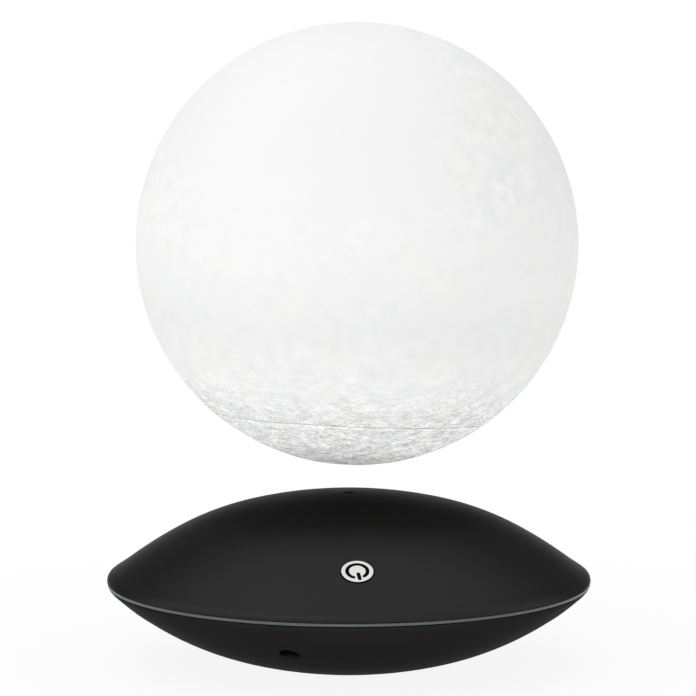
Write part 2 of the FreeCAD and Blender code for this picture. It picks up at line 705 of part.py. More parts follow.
def chassis():
    """Round plate with two collars for the magnet, four ears, cable slots and standoffs below."""
    collar_top = chassis_top + COLLAR_HEIGHT
    pieces = [cylinder(plate_radius, chassis_bottom, chassis_top)]
    pieces.append(tube(collar_outer + COLLAR_WALL, collar_outer, chassis_top, collar_top))
    pieces.append(tube(collar_inner, collar_inner - COLLAR_WALL, chassis_top, collar_top))
    for x, y in chassis_places:
        pieces.append(cylinder(CHASSIS_EAR, chassis_bottom, chassis_top, x, y))
    for x, y in standoff_places:
        pieces.append(cylinder(STANDOFF_RADIUS, control_top, chassis_bottom, x, y))
    body = joined(pieces)
    slot = centred_block(0, (MAGNET_INNER + MAGNET_OUTER) / 2, CHASSIS_SLOT_WIDTH, CHASSIS_SLOT_LENGTH,
                         chassis_bottom, chassis_top)
    holes = [cylinder(CHASSIS_HUB_HOLE, chassis_bottom, chassis_top)]
    for number in range(CHASSIS_SLOTS):
        holes.append(slot.rotated(CENTRE, UP, 360.0 * number / CHASSIS_SLOTS))
    for x, y in chassis_places:
        holes.append(cylinder(SHANK_RADIUS + SEAT_GAP, chassis_bottom, chassis_top, x, y))
    board_end = control_bottom + BOARD_SHANK_LENGTH + SCREW_SPARE
    for x, y in standoff_places:
        holes.append(cylinder(SHANK_RADIUS + SHANK_GAP, control_top, board_end, x, y))
    return body.cut(Part.makeCompound(holes))


def coil_bobbins():
    barrel = CORE_RADIUS + SHANK_GAP + COIL_BARREL
    bobbins = []
    for x, y in coil_places:
        pieces = [cylinder(COIL_FLANGE_RADIUS, coil_base, coil_base + COIL_FLANGE, x, y)]
        pieces.append(cylinder(COIL_FLANGE_RADIUS, coil_top - COIL_FLANGE, coil_top, x, y))
        pieces.append(cylinder(barrel, coil_base, coil_top, x, y))
        bobbins.append(joined(pieces).cut(cylinder(CORE_RADIUS + SHANK_GAP, coil_base, coil_top, x, y)))
    return bobbins


def coil_windings():
    barrel = CORE_RADIUS + 2 * SHANK_GAP + COIL_BARREL
    bottom = coil_base + COIL_FLANGE
    top = coil_top - COIL_FLANGE
    return [tube(WINDING_RADIUS, barrel, bottom, top, x, y) for x, y in coil_places]


def hall_sensors():
    """Three sensors on the little board: one looks along X, one along Y, and one lies beside the lamp."""
    bottom = sensor_board_top
    top = bottom + SENSOR_HEIGHT
    across = centred_block(0, -SENSOR_OFFSET, SENSOR_LENGTH, SENSOR_WIDTH, bottom, top)
    along = centred_block(SENSOR_OFFSET, 0, SENSOR_WIDTH, SENSOR_LENGTH, bottom, top)
    flat = centred_block(0, SENSOR_OFFSET, SENSOR_LENGTH, SENSOR_WIDTH, bottom, top)
    return [across, along, flat]


def pilot_lamp():
    """Little round lamp with its flange, its nose tapered towards the crown's hole."""
    bottom = sensor_board_top
    top = bottom + PILOT_HEIGHT
    stem = cylinder(PILOT_RADIUS, bottom, top)
    nose = [edge for edge in stem.Edges if edge.BoundBox.ZMin > top - PILOT_NOSE]
    flange = cylinder(PILOT_RADIUS + PILOT_FLANGE, bottom, bottom + PILOT_FLANGE_HEIGHT)
    return joined([flange, stem.makeChamfer(PILOT_NOSE, nose)])


def control_board():
    board = block(-CONTROL_HALF_WIDTH, CONTROL_HALF_WIDTH, CONTROL_FRONT, control_rear, control_bottom, control_top)
    upright = [edge for edge in board.Edges if abs(edge.tangentAt(edge.FirstParameter).z) > 0.9]
    board = board.makeFillet(CONTROL_CORNER, upright)
    for x, y in standoff_places:
        board = board.cut(cylinder(SHANK_RADIUS + SEAT_GAP, control_bottom, control_top, x, y))
    return board


def capacitors():
    """Cans that hang from the board in a row, each with its free end chamfered."""
    bottom = control_bottom - CAN_HEIGHT
    cans = []
    for number in range(CANS):
        can = cylinder(CAN_RADIUS, bottom, control_bottom, CAN_X, CAN_Y + CAN_PITCH * number)
        free_end = [edge for edge in can.Edges if edge.BoundBox.ZMax < bottom + CAN_EDGE]
        cans.append(can.makeChamfer(CAN_EDGE, free_end))
    return cans


def chokes():
    """Drum chokes in a row, each with a flange at both ends."""
    bottom = control_bottom - CHOKE_HEIGHT
    drums = []
    for number in range(CHOKES):
        y = CHOKE_Y + CHOKE_PITCH * number
        pieces = [cylinder(CHOKE_RADIUS, control_bottom - CHOKE_FLANGE, control_bottom, CHOKE_X, y)]
        pieces.append(cylinder(CHOKE_RADIUS, bottom, bottom + CHOKE_FLANGE, CHOKE_X, y))
        pieces.append(cylinder(CHOKE_WAIST, bottom, control_bottom, CHOKE_X, y))
        drums.append(joined(pieces))
    return drums


def in_a_row(count, pitch):
    """Places spaced evenly along X with their middle on the axis."""
    return [pitch * (number - (count - 1) / 2) for number in range(count)]


def chips():
    bottom = control_bottom - CHIP_HEIGHT
    return [centred_block(x, CHIP_Y, CHIP_SIZE, CHIP_SIZE, bottom, control_bottom)
            for x in in_a_row(CHIPS, CHIP_PITCH)]


def plug_sockets():
    """Sockets for the leads of the button, the light strip and the coils, each open below."""
    bottom = control_bottom - PLUG_SOCKET_HEIGHT
    well_top = control_bottom - PLUG_SOCKET_ROOF
    well_length = PLUG_SOCKET_LENGTH - 2 * PLUG_SOCKET_WALL
    well_width = PLUG_SOCKET_WIDTH - 2 * PLUG_SOCKET_WALL
    sockets = []
    for x in in_a_row(PLUG_SOCKETS, PLUG_SOCKET_PITCH):
        body = centred_block(x, PLUG_SOCKET_Y, PLUG_SOCKET_LENGTH, PLUG_SOCKET_WIDTH, bottom, control_bottom)
        sockets.append(body.cut(centred_block(x, PLUG_SOCKET_Y, well_length, well_width, bottom, well_top)))
    return sockets


def lead_plugs():
    """Plugs in the outer two sockets, with their leads below."""
    top = control_bottom - PLUG_SOCKET_ROOF - SEAT_GAP
    length = PLUG_SOCKET_LENGTH - 2 * (PLUG_SOCKET_WALL + SEAT_GAP)
    width = PLUG_SOCKET_WIDTH - 2 * (PLUG_SOCKET_WALL + SEAT_GAP)
    places = in_a_row(PLUG_SOCKETS, PLUG_SOCKET_PITCH)
    return [centred_block(x, PLUG_SOCKET_Y, length, width, plug_bottom, top) for x in (places[0], places[-1])]


def switch_lead():
    """From the underside of the switch's board, down past the chassis and up into the right-hand plug."""
    start = button_place.multVec(FreeCAD.Vector(SWITCH_LEAD_X, 0, switch_board_bottom))
    out = button_place.multVec(FreeCAD.Vector(SWITCH_LEAD_X, 0, switch_board_bottom - SWITCH_LEAD_OUT))
    return lead("switch_lead", [start, out] + up_to_plug(-1), LEAD_RADIUS)


def strip_lead():
    """From the back of the light strip, through the hole in its rib and up into the left-hand plug."""
    start = at(STRIP_LEAD_TURN, strip_inner - SHANK_GAP, strip_middle)
    out = at(STRIP_LEAD_TURN, rib_outer - STRIP_LEAD_OUT, strip_middle)
    return lead("strip_lead", [start, out] + up_to_plug(0), LEAD_RADIUS)


def coil_lead():
    """From the edge of the power coil, down past the magnet and under the chassis to the control board."""
    height = magnet_top + POWER_COIL_HEIGHT / 2
    under = (control_top + chassis_bottom) / 2
    beside = plate_radius + COIL_LEAD_EDGE
    end = CONTROL_HALF_WIDTH - COIL_LEAD_IN
    route = [(POWER_COIL_OUTER, height), (collar_outer + COLLAR_WALL + COIL_LEAD_OUT, height),
             (beside, height - COIL_LEAD_DROP), (beside, under), (end, under), (end, control_top)]
    return lead("coil_lead", [at(COIL_LEAD_TURN, radius, z) for radius, z in route], THIN_LEAD_RADIUS)


def sensor_pins():
    """Four pins that carry the sensor board's signals down to the coil board."""
    offset = SENSOR_BOARD / 2 - SENSOR_PIN_INSET
    return [cylinder(SENSOR_PIN_RADIUS, coil_base, sensor_board_bottom, x, y)
            for x in (-offset, offset) for y in (-offset, offset)]


def dc_jack():
    """Block on the board's rear edge with a round bore that faces the notch."""
    half = JACK_WIDTH / 2
    body = block(-half, half, jack_mouth - JACK_LENGTH, jack_mouth, jack_axis - JACK_BELOW, control_bottom)
    return body.cut(along_y(JACK_BORE_RADIUS, jack_floor, jack_mouth, jack_axis))


def jack_pin():
    pin = along_y(JACK_PIN_RADIUS, jack_floor, jack_floor + JACK_PIN_LENGTH, jack_axis)
    tip = [edge for edge in pin.Edges if edge.BoundBox.YMin > jack_floor + JACK_PIN_LENGTH - JACK_PIN_NOSE]
    return pin.makeChamfer(JACK_PIN_NOSE, tip)


def power_button():
    """Cap flush with the flank, a flange behind it that stops it and a stem that works the switch."""
    cap = cylinder(BUTTON_RADIUS, flange_top, BUTTON_PROUD)
    rim = [edge for edge in cap.Edges if edge.BoundBox.ZMin > BUTTON_PROUD - BUTTON_CHAMFER]
    cap = cap.makeChamfer(BUTTON_CHAMFER, rim)
    flange = cylinder(flange_radius, flange_bottom, flange_top)
    stem = cylinder(BUTTON_STEM_RADIUS, plunger_top, flange_bottom)
    return placed(joined([cap, flange, stem]), button_place)


def switch_plunger():
    return placed(cylinder(PLUNGER_RADIUS, switch_top - PLUNGER_SUNK, plunger_top), button_place)


def switch_body():
    """Small square switch with a round well for its plunger."""
    body = centred_block(0, 0, SWITCH_SIZE, SWITCH_SIZE, switch_bottom, switch_top)
    well_depth = PLUNGER_SUNK + BUTTON_TRAVEL + SEAT_GAP
    body = body.cut(cylinder(PLUNGER_RADIUS + SLIDE_GAP, switch_top - well_depth, switch_top))
    return placed(body, button_place)


def switch_board():
    board = centred_block(0, 0, switch_board_length, SWITCH_BOARD_WIDTH, switch_board_bottom, switch_bottom)
    for x, y in switch_places:
        board = board.cut(cylinder(SHANK_RADIUS + SEAT_GAP, switch_board_bottom, switch_bottom, x, y))
    return placed(board, button_place)


def moon_globe():
    """Printed sphere cut off at the seam. Its inside is turned in short cones that follow the wall."""
    inner_radius = MOON_RADIUS - MOON_WALL
    top = FreeCAD.Vector(0, 0, MOON_RADIUS)
    equator = FreeCAD.Vector(MOON_RADIUS, 0, 0)
    seam_edge = FreeCAD.Vector(SEAM_RADIUS, 0, seam)
    step_top = seam + SEAM_STEP_HEIGHT
    last_angle = math.asin(step_top / inner_radius)
    points = [top, FreeCAD.Vector(0, 0, inner_radius)]
    for number in range(1, MOON_BANDS + 1):
        angle = math.pi / 2 - (math.pi / 2 - last_angle) * number / MOON_BANDS
        points.append(FreeCAD.Vector(inner_radius * math.cos(angle), 0, inner_radius * math.sin(angle)))
    points.append(FreeCAD.Vector(SEAM_STEP_RADIUS, 0, step_top))
    points.append(FreeCAD.Vector(SEAM_STEP_RADIUS, 0, seam))
    points.append(seam_edge)
    outside = Part.Arc(seam_edge, equator, top).toShape()
    return placed(turned([outside] + lines(points)), moon_place)


def cap_inner_height(radius):
    """Height of the cap's sloping inside at a radius between the pocket and the ring."""
    inner_radius = MOON_RADIUS - MOON_WALL
    ring_height = -math.sqrt(inner_radius ** 2 - CAP_RING_INNER ** 2)
    share = (radius - pocket_radius) / (CAP_RING_INNER - pocket_radius)
    return pocket_floor + share * (ring_height - pocket_floor)


def moon_cap():
    """Lower cap with the magnet's round pocket, three bosses and a ring that steps into the globe."""
    ball = Part.makeSphere(MOON_RADIUS, CENTRE, FreeCAD.Vector(1, 0, 0))
    below_seam = ball.common(cylinder(MOON_RADIUS, -MOON_RADIUS - MOON_WALL, seam))
    hollow = turned_polygon([
        (0, pocket_floor),
        (pocket_radius, pocket_floor),
        (CAP_RING_INNER, cap_inner_height(CAP_RING_INNER)),
        (CAP_RING_INNER, seam),
        (0, seam),
    ])
    ring_top = seam + SEAM_STEP_HEIGHT - SEAT_GAP
    half_wall = MOON_WALL / 2
    pieces = [below_seam.cut(hollow)]
    pieces.append(tube(SEAM_STEP_RADIUS - SEAT_GAP, CAP_RING_INNER, seam, ring_top))
    pieces.append(tube(pocket_radius + FLOAT_WALL, pocket_radius, pocket_floor - half_wall,
                       pocket_floor + FLOAT_WALL_HEIGHT))
    boss_bottom = cap_inner_height(tray_screw_circle - TRAY_BOSS_RADIUS) - half_wall
    for x, y in tray_places:
        pieces.append(cylinder(TRAY_BOSS_RADIUS, boss_bottom, tray_bottom, x, y))
    body = joined(pieces)
    pilot_bottom = tray_top - TRAY_SHANK_LENGTH - SEAT_GAP
    for x, y in tray_places:
        body = body.cut(cylinder(SHANK_RADIUS + SHANK_GAP, pilot_bottom, tray_bottom, x, y))
    return placed(body, moon_place)


def magnet_tray():
    """Disc that shuts the magnet in, with three posts for the light board."""
    pieces = [cylinder(tray_radius, tray_bottom, tray_top)]
    for x, y in light_post_places:
        pieces.append(cylinder(LIGHT_POST_RADIUS, tray_top, light_board_bottom, x, y))
    body = joined(pieces)
    holes = [cylinder(SHANK_RADIUS + SEAT_GAP, tray_bottom, tray_top, x, y) for x, y in tray_places]
    pilot_bottom = light_board_top - LIGHT_SHANK_LENGTH - SEAT_GAP
    for x, y in light_post_places:
        holes.append(cylinder(SHANK_RADIUS + SHANK_GAP, pilot_bottom, light_board_bottom, x, y))
    holes.append(cylinder(LEAD_HOLE_RADIUS, tray_bottom, tray_top, 0, -receive_lead_radius))
    return placed(body.cut(Part.makeCompound(holes)), moon_place)


def receive_coil():
    bottom = cap_inner_height(receive_outer) + LOOSE_GAP
    return placed(tube(receive_outer, receive_inner, bottom, bottom + RECEIVE_COIL_HEIGHT), moon_place)


def receive_lead():
    """From the edge of the receiving coil, up through the tray's hole to the light board's underside."""
    start_height = cap_inner_height(receive_outer) + LOOSE_GAP + RECEIVE_COIL_HEIGHT - RECEIVE_LEAD_DROP
    passing_height = (tray_top + light_board_bottom) / 2
    route = [(receive_outer, start_height), (receive_lead_radius, start_height),
             (receive_lead_radius, passing_height), (RECEIVE_LEAD_END, passing_height),
             (RECEIVE_LEAD_END, light_board_bottom)]
    return placed(lead("receive_lead", [at(0.0, radius, z) for radius, z in route], THIN_LEAD_RADIUS), moon_place)


def light_board():
    board = cylinder(LIGHT_BOARD_RADIUS, light_board_bottom, light_board_top)
    for x, y in light_post_places:
        board = board.cut(cylinder(SHANK_RADIUS + SEAT_GAP, light_board_bottom, light_board_top, x, y))
    return placed(board, moon_place)


def moon_leds():
    """One lamp in the middle of the light board and a ring of them round it."""
    top = light_board_top + MOON_LED_HEIGHT
    places = [(0.0, 0.0)] + around(MOON_LEDS, MOON_LED_CIRCLE, MOON_LED_TURN)
    lamps = [centred_block(x, y, MOON_LED_SIZE, MOON_LED_SIZE, light_board_top, top) for x, y in places]
    return all_placed(lamps, moon_place)


def regulators():
    """Rectifier and regulators on the light board's underside."""
    bottom = light_board_bottom - REGULATOR_HEIGHT
    places = around(REGULATORS, REGULATOR_CIRCLE, REGULATOR_TURN)
    packages = [centred_block(x, y, REGULATOR_SIZE, REGULATOR_SIZE, bottom, light_board_bottom) for x, y in places]
    return all_placed(packages, moon_place)


def node(name, shapes):
    """Write one named piece, or a group of like pieces, to its own file."""
    group = shapes if isinstance(shapes, list) else [shapes]
    solids = []
    for shape in group:
        solids += shape.Solids
    piece = solids[0] if len(solids) == 1 else Part.makeCompound(solids)
    if not piece.isValid():
        raise ValueError(name + " is not a sound shape")
    piece.exportStep("parts/" + name + ".step")
    print(name, len(solids), "solids", round(piece.Volume), "mm3")


def build_base():
    node("upper_shell", upper_shell())
    node("lower_shell", lower_shell())
    node("light_ring", light_ring())
    node("led_strip", tube(strip_outer, strip_inner, strip_bottom, strip_bottom + STRIP_WIDTH))
    node("strip_leds", strip_leds())
    node("case_screws", case_screws())
    node("rubber_feet", rubber_feet())


def build_chassis():
    node("chassis", chassis())
    node("chassis_screws", small_screws(chassis_places, chassis_bottom, CHASSIS_SHANK_LENGTH, 1))
    node("ring_magnet", tube(MAGNET_OUTER, MAGNET_INNER, chassis_top, magnet_top))
    node("power_coil", tube(POWER_COIL_OUTER, POWER_COIL_INNER, magnet_top, magnet_top + POWER_COIL_HEIGHT))
    node("coil_lead", coil_lead())
    node("coil_board", cylinder(coil_board_radius, chassis_top, coil_base))
    node("coil_bobbins", coil_bobbins())
    node("coil_windings", coil_windings())
    node("coil_cores", [cylinder(CORE_RADIUS, coil_base, coil_top, x, y) for x, y in coil_places])
    node("sensor_post", cylinder(SENSOR_POST_RADIUS, coil_base, sensor_board_bottom))
    node("sensor_pins", sensor_pins())
    node("sensor_board", centred_block(0, 0, SENSOR_BOARD, SENSOR_BOARD, sensor_board_bottom, sensor_board_top))
    node("hall_sensors", hall_sensors())
    node("pilot_lamp", pilot_lamp())


def build_control():
    node("control_board", control_board())
    node("board_screws", small_screws(standoff_places, control_bottom, BOARD_SHANK_LENGTH, 1))
    node("capacitors", capacitors())
    node("chokes", chokes())
    node("chips", chips())
    node("plug_sockets", plug_sockets())
    node("lead_plugs", lead_plugs())
    node("strip_lead", strip_lead())
    node("coil_header", centred_block(0, 0, HEADER_LENGTH, HEADER_WIDTH, control_top, chassis_top))
    node("dc_jack", dc_jack())
    node("jack_pin", jack_pin())


def build_button():
    node("power_button", power_button())
    node("switch_plunger", switch_plunger())
    node("switch_body", switch_body())
    node("switch_board", switch_board())
    screws = small_screws(switch_places, switch_board_bottom, SWITCH_SHANK_LENGTH, 1)
    node("switch_screws", all_placed(screws, button_place))
    node("switch_lead", switch_lead())


def build_moon():
    node("moon_globe", moon_globe())
    node("moon_cap", moon_cap())
    node("float_magnet", placed(cylinder(FLOAT_RADIUS, float_bottom, float_top), moon_place))
    node("receive_coil", receive_coil())
    node("receive_lead", receive_lead())
    node("ferrite_sheet", placed(cylinder(receive_outer - SEAT_GAP, ferrite_bottom, tray_bottom), moon_place))
    node("magnet_tray", magnet_tray())
    screws = small_screws(tray_places, tray_top, TRAY_SHANK_LENGTH, -1)
    node("tray_screws", all_placed(screws, moon_place))
    node("light_board", light_board())
    node("moon_leds", moon_leds())
    node("regulators", regulators())
    screws = small_screws(light_post_places, light_board_top, LIGHT_SHANK_LENGTH, -1)
    node("light_board_screws", all_placed(screws, moon_place))


os.makedirs("parts", exist_ok=True)
build_base()
build_chassis()
build_control()
build_button()
build_moon()
print("rim", round(upper_rim, 3), "crown", round(crown, 3), "moon centre", round(hover_centre, 3))
print("pivot", round(pivot_height, 3), "moon axis", moon_axis)
print("button", button_point, "slope", round(math.degrees(button_slope), 3))
print("jack mouth", round(jack_mouth, 3), "axis", round(jack_axis, 3), "notch ceiling", round(notch_ceiling, 3))
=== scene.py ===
import json
import math

import bmesh
import bpy
import numpy as np
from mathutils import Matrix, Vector


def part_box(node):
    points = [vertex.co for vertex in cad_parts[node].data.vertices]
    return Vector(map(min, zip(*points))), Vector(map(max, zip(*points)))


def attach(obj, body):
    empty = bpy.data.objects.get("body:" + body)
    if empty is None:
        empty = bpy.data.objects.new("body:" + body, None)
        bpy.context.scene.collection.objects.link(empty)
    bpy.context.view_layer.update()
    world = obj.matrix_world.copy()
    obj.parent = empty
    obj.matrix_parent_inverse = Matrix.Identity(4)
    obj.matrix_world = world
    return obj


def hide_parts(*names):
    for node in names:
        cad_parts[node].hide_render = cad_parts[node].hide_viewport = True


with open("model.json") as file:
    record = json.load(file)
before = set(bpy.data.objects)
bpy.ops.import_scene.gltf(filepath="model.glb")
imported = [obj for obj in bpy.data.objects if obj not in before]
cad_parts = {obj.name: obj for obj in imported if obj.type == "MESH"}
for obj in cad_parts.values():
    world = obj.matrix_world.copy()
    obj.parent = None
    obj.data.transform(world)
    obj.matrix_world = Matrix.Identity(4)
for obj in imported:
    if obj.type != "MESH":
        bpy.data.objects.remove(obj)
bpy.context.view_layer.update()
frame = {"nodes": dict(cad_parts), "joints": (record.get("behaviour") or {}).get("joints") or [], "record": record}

# The looks of a moon lamp: a white printed globe that hovers over a satin black saucer base.
# Lengths are in metres and angles in degrees, unless a comment says otherwise. The front faces -Y.

# Camera: its place round the lamp, its height and tilt, and its lens and sensor in millimetres
CAMERA_DISTANCE = 1.1358
CAMERA_TURN = 2.4
CAMERA_SIDE = -0.0003
CAMERA_HEIGHT = 0.2295
CAMERA_PITCH = 6.111
CAMERA_LENS = 174.26
CAMERA_SENSOR = 36.0
CAMERA_NEAR = 0.05
CAMERA_FAR = 50.0

# Studio: the floor with its curve and low wall, the sky, and the soft lamps with their sides and watts
FLOOR_REACH = 5.0
FLOOR_CURVE = 0.4
FLOOR_TOP = 1.1
FLOOR_COLUMNS = 96
FLOOR_WHITE = 0.88
SKY_HORIZON = 0.74
SKY_OVERHEAD = 0.94
SKY_FRONT = 1.12
SKY_BEHIND = 0.66
SKY_BACKWARDS = (0.3, 0.95, 0.0)
SOFTBOXES = [
    ("key", (-0.72, -0.88, 1.4), (0, 0, 0.1), 1.0, 4.9),
    ("side", (-1.1, 1.0, 1.4), (0, 0, 0.05), 1.2, 0.7),
    ("right", (1.3, 0.7, 0.6), (0, 0, 0.08), 0.9, 1.0),
]

# Colours of the print, its seam and its glow, which is partly painted light, of the shells and the band, and of
# dust
PRINT_WHITE = (0.84, 0.843, 0.84)
PRINT_WARM = (0.86, 0.845, 0.79)
PRINT_COOL = (0.8, 0.845, 0.83)
SEAM_BROWN = (0.42, 0.38, 0.3)
GLOW_AND_PAINTED_LIGHT_WHITE = (1.0, 1.0, 0.995)
SHELL_BLACK = (0.0102, 0.0106, 0.0101)
BAND_GREEN = (0.09, 0.124, 0.112)
DUST_COLOUR = (0.5, 0.49, 0.46)

# Sheen of the black shells by place and slope, least on the crown as a painted shadow of the ball and with a
# painted sheen for what faces down, and how dark the painted shade in wells and gaps, and the symbol's black ink,
# are
CROWN_EDGE = (0.036, 0.06)
CROWN_PAINTED_SHADOW_SHEEN = 0.005
FLANK_SHEEN = 0.11
SLOPE_SHEEN = 0.35
SHEEN_TURN = 0.62
EDGE_SHEEN = 0.5
UNDER_PAINTED_SHEEN = 0.12
SHADE_AND_INK_DARKENING = 0.88
SHADE_AND_INK_FADE = 0.0022

# Moon, counted from its centre
MOON_RADIUS = 0.075
MOON_WALL = 0.002
SEAM_RADIUS = 0.0459
SEAM_STEP_RADIUS = 0.0444
SEAM_STEP_HEIGHT = 0.0012
SEAM_ROUND = 0.0002
SEAM_LINE = 0.0002
SEAM_ZONE = 0.0015
SEAM_ROWS = 13
CAP_RING_INNER = 0.0416
FIT_GAP = 0.0002
POCKET_RADIUS = 0.0253
POCKET_WALL = 0.0016
POCKET_WALL_HEIGHT = 0.0065
INSIDE_ROWS = 16

# Glow of the moon: an even faint level that is the lamp's own glow, painted light in a belt and towards the foot,
# a painted shade at the very bottom and a painted highlight on the lip under the seam. Their levels, and how far
# down they start and end, -1 at the top and 1 at the foot
MOON_GLOW = 0.095
BELT_PAINTED_LIGHT = 0.07
BELT_PAINTED_LIGHT_RANGE = (-0.6, 0.2)
FOOT_PAINTED_LIGHT = 0.33
FOOT_PAINTED_LIGHT_RANGE = (0.3, 1.0)
POLE_PAINTED_SHADE = 0.2
POLE_RANGE = (0.88, 1.0)
INSIDE_HEIGHT = -0.5
SEAM_LIP_HIGHLIGHT = 0.14
SEAM_LIP_PLACE = 0.0007
SEAM_LIP_WIDTH = 0.0004

# Relief of the moon's surface, all of it cut inwards. The craters' sizes are shares of the radius
GLOBE_COLUMNS = 408
GLOBE_ROWS = 198
CAP_ROWS = 62
RELIEF_TOP = 0.00008
BROAD_RELIEF = 0.0001
FINE_RELIEF = 0.00016
FINE_STRETCH = (1.0, 1.0, 1.9)
CRATERS = 420
CRATER_SMALL = 0.016
CRATER_LARGE = 0.16
CRATER_RARITY = 3.2
CRATER_DEPTH = 0.0021
CRATER_DEPTH_POWER = 0.85
CRATER_REACH = 1.9
CRATER_BOWL_POWER = 0.8
CRATER_RIM = 0.42
CRATER_RIM_PLACE = 1.04
CRATER_RIM_WIDTH = 0.2
SMOOTH_SIDE = (-0.28, -0.75, 0.6)
BELT_ANGLE = 49.0
BELT_WIDTH = 9.0
LATTICE = 48

# Base: how far its two rims come up to the thin band, and the band's face, seat and web
UPPER_RIM = 0.027981
LOWER_RIM = 0.026381
UPPER_LIFT = 0.00095
LOWER_LIFT = 0.0009
UPPER_LIFT_REACH = 0.0055
LOWER_LIFT_REACH = 0.007
LOWER_LIFT_INNER = 0.0743
BAND_RADIUS = 0.0822
BAND_FOOT = 0.02762
BAND_HEAD = 0.0286
BAND_INNER = 0.0763
BAND_BACK = 0.0785
BAND_SEAT = 0.0795
BAND_ROUND = 0.00012
BAND_WEB_RISE = 0.0008
BAND_COLUMNS = 360

# Corners closer than this are one, and an edge stays sharp from this angle on, on shells and turned pieces
MERGE_DISTANCE = 1e-7
SHELL_CREASE = 24.0
TURNED_CREASE = 50.0

# Screw wells in the lower case, and the skin round them whose shading is mended
WELL_COUNT = 4
WELL_CIRCLE = 0.066
WELL_TURN = -19.2
WELL_RADIUS = 0.00345
WELL_FOOT = 0.0129
SKIN_SLOPE = -0.2
SKIN_WIDTH = 0.013
SKIN_REACH = 0.014
SKIN_STEPS = 40

# Power button: where its cap meets the flank, a white face let into a black cap, and the symbol on it
BUTTON_POINT = (0.0, -0.0645, 0.042332)
BUTTON_TOP = 0.00015
FACE_RADIUS = 0.0052
FACE_PROUD = 0.00002
FACE_DEPTH = 0.0003
FACE_ROUND = 0.00008
FACE_COLUMNS = 96
SYMBOL_RADIUS = 0.0033
SYMBOL_STROKE = 0.00127
SYMBOL_START = -49.0
SYMBOL_SWEEP = 295.5
SYMBOL_PROUD = 0.00003
SYMBOL_DEPTH = 0.0002
SYMBOL_RISE = 0.0001
SYMBOL_SOFTNESS = 0.3
SYMBOL_ROWS = 49
SYMBOL_END_ROWS = 9
SYMBOL_COLUMNS = 24
BAR_FROM = (0.00028, -0.00122)
BAR_TO = (0.00066, -0.0037)


def feed(tree, sockets, inputs):
    """Each input is either linked to a socket or set to a value."""
    for key, value in inputs.items():
        if isinstance(value, bpy.types.NodeSocket):
            tree.links.new(value, sockets[key])
        else:
            sockets[key].default_value = value


def put(tree, kind, inputs=None, **settings):
    """New shader node with its settings and inputs."""
    made = tree.nodes.new("ShaderNode" + kind)
    for setting, value in settings.items():
        setattr(made, setting, value)
    feed(tree, made.inputs, inputs or {})
    return made


def maths(tree, operation, first, second=0.0, third=0.0):
    """Result of one arithmetic step."""
    return put(tree, "Math", {0: first, 1: second, 2: third}, operation=operation).outputs[0]


def times(tree, *factors):
    """Product of all the factors."""
    product = factors[0]
    for factor in factors[1:]:
        product = maths(tree, "MULTIPLY", product, factor)
    return product


def times_plus(tree, value, factor, more):
    """Value times factor, plus more."""
    return maths(tree, "MULTIPLY_ADD", value, factor, more)


def ramp(tree, value, low, high, start=0.0, end=1.0):
    """Value carried from low..high to start..end, smooth and held at both ends."""
    inputs = {0: value, 1: low, 2: high, 3: start, 4: end}
    return put(tree, "MapRange", inputs, interpolation_type="SMOOTHSTEP").outputs[0]


def mixed(tree, share, first, second):
    """Colour between two colours."""
    return put(tree, "Mix", {0: share, 6: first, 7: second}, data_type="RGBA").outputs[2]


def scaled(tree, vector, scale):
    """Vector or colour times a number."""
    return put(tree, "VectorMath", {0: vector, "Scale": scale}, operation="SCALE").outputs[0]


def dot(tree, first, second):
    """Dot product of two vectors."""
    return put(tree, "VectorMath", {0: first, 1: second}, operation="DOT_PRODUCT").outputs["Value"]


def rising(tree, vector):
    """The upward part of a vector."""
    return put(tree, "SeparateXYZ", {0: vector}).outputs[2]


def off_axis(tree, place):
    """How far a place lies from the upright axis through the middle of the base."""
    flat = put(tree, "VectorMath", {0: place, 1: (1.0, 1.0, 0.0)}, operation="MULTIPLY").outputs[0]
    return put(tree, "VectorMath", {0: flat}, operation="LENGTH").outputs["Value"]


def noise(tree, vector, scale, detail, roughness=0.5):
    """Smooth random value from 0 to 1."""
    inputs = {"Vector": vector, "Scale": scale, "Detail": detail, "Roughness": roughness}
    return put(tree, "TexNoise", inputs).outputs[0]


def centred_noise(tree, vector, scale, detail, roughness=0.5):
    """Smooth random value from -0.5 to 0.5."""
    return maths(tree, "SUBTRACT", noise(tree, vector, scale, detail, roughness), 0.5)


def rgb(red, green, blue):
    """Colour with full cover."""
    return (red, green, blue, 1.0)


def effect(name, inputs, outputs):
    """Empty node group with its named sockets: the tree, its inputs and its outputs."""
    tree = bpy.data.node_groups.new(name, "ShaderNodeTree")
    for socket, kind, value in inputs:
        made = tree.interface.new_socket(socket, in_out="INPUT", socket_type="NodeSocket" + kind)
        if value is not None:
            made.default_value = value
    for socket, kind in outputs:
        tree.interface.new_socket(socket, in_out="OUTPUT", socket_type="NodeSocket" + kind)
    return tree, tree.nodes.new("NodeGroupInput").outputs, tree.nodes.new("NodeGroupOutput").inputs


def grain_effect():
    """Fine moulded grain: a layer of noise, plus half of one that is four times as fine."""
    tree, given, result = effect("grain", [("Vector", "Vector", None), ("Size", "Float", 0.0005)],
                                 [("Height", "Float"), ("Speck", "Float")])
    scale = maths(tree, "DIVIDE", 1.0, given["Size"])
    coarse = noise(tree, given["Vector"], scale, 2.0)
    fine = noise(tree, given["Vector"], times(tree, scale, 4.0), 1.0)
    tree.links.new(times_plus(tree, fine, 0.5, coarse), result["Height"])
    tree.links.new(ramp(tree, fine, 0.45, 0.75), result["Speck"])
    return tree


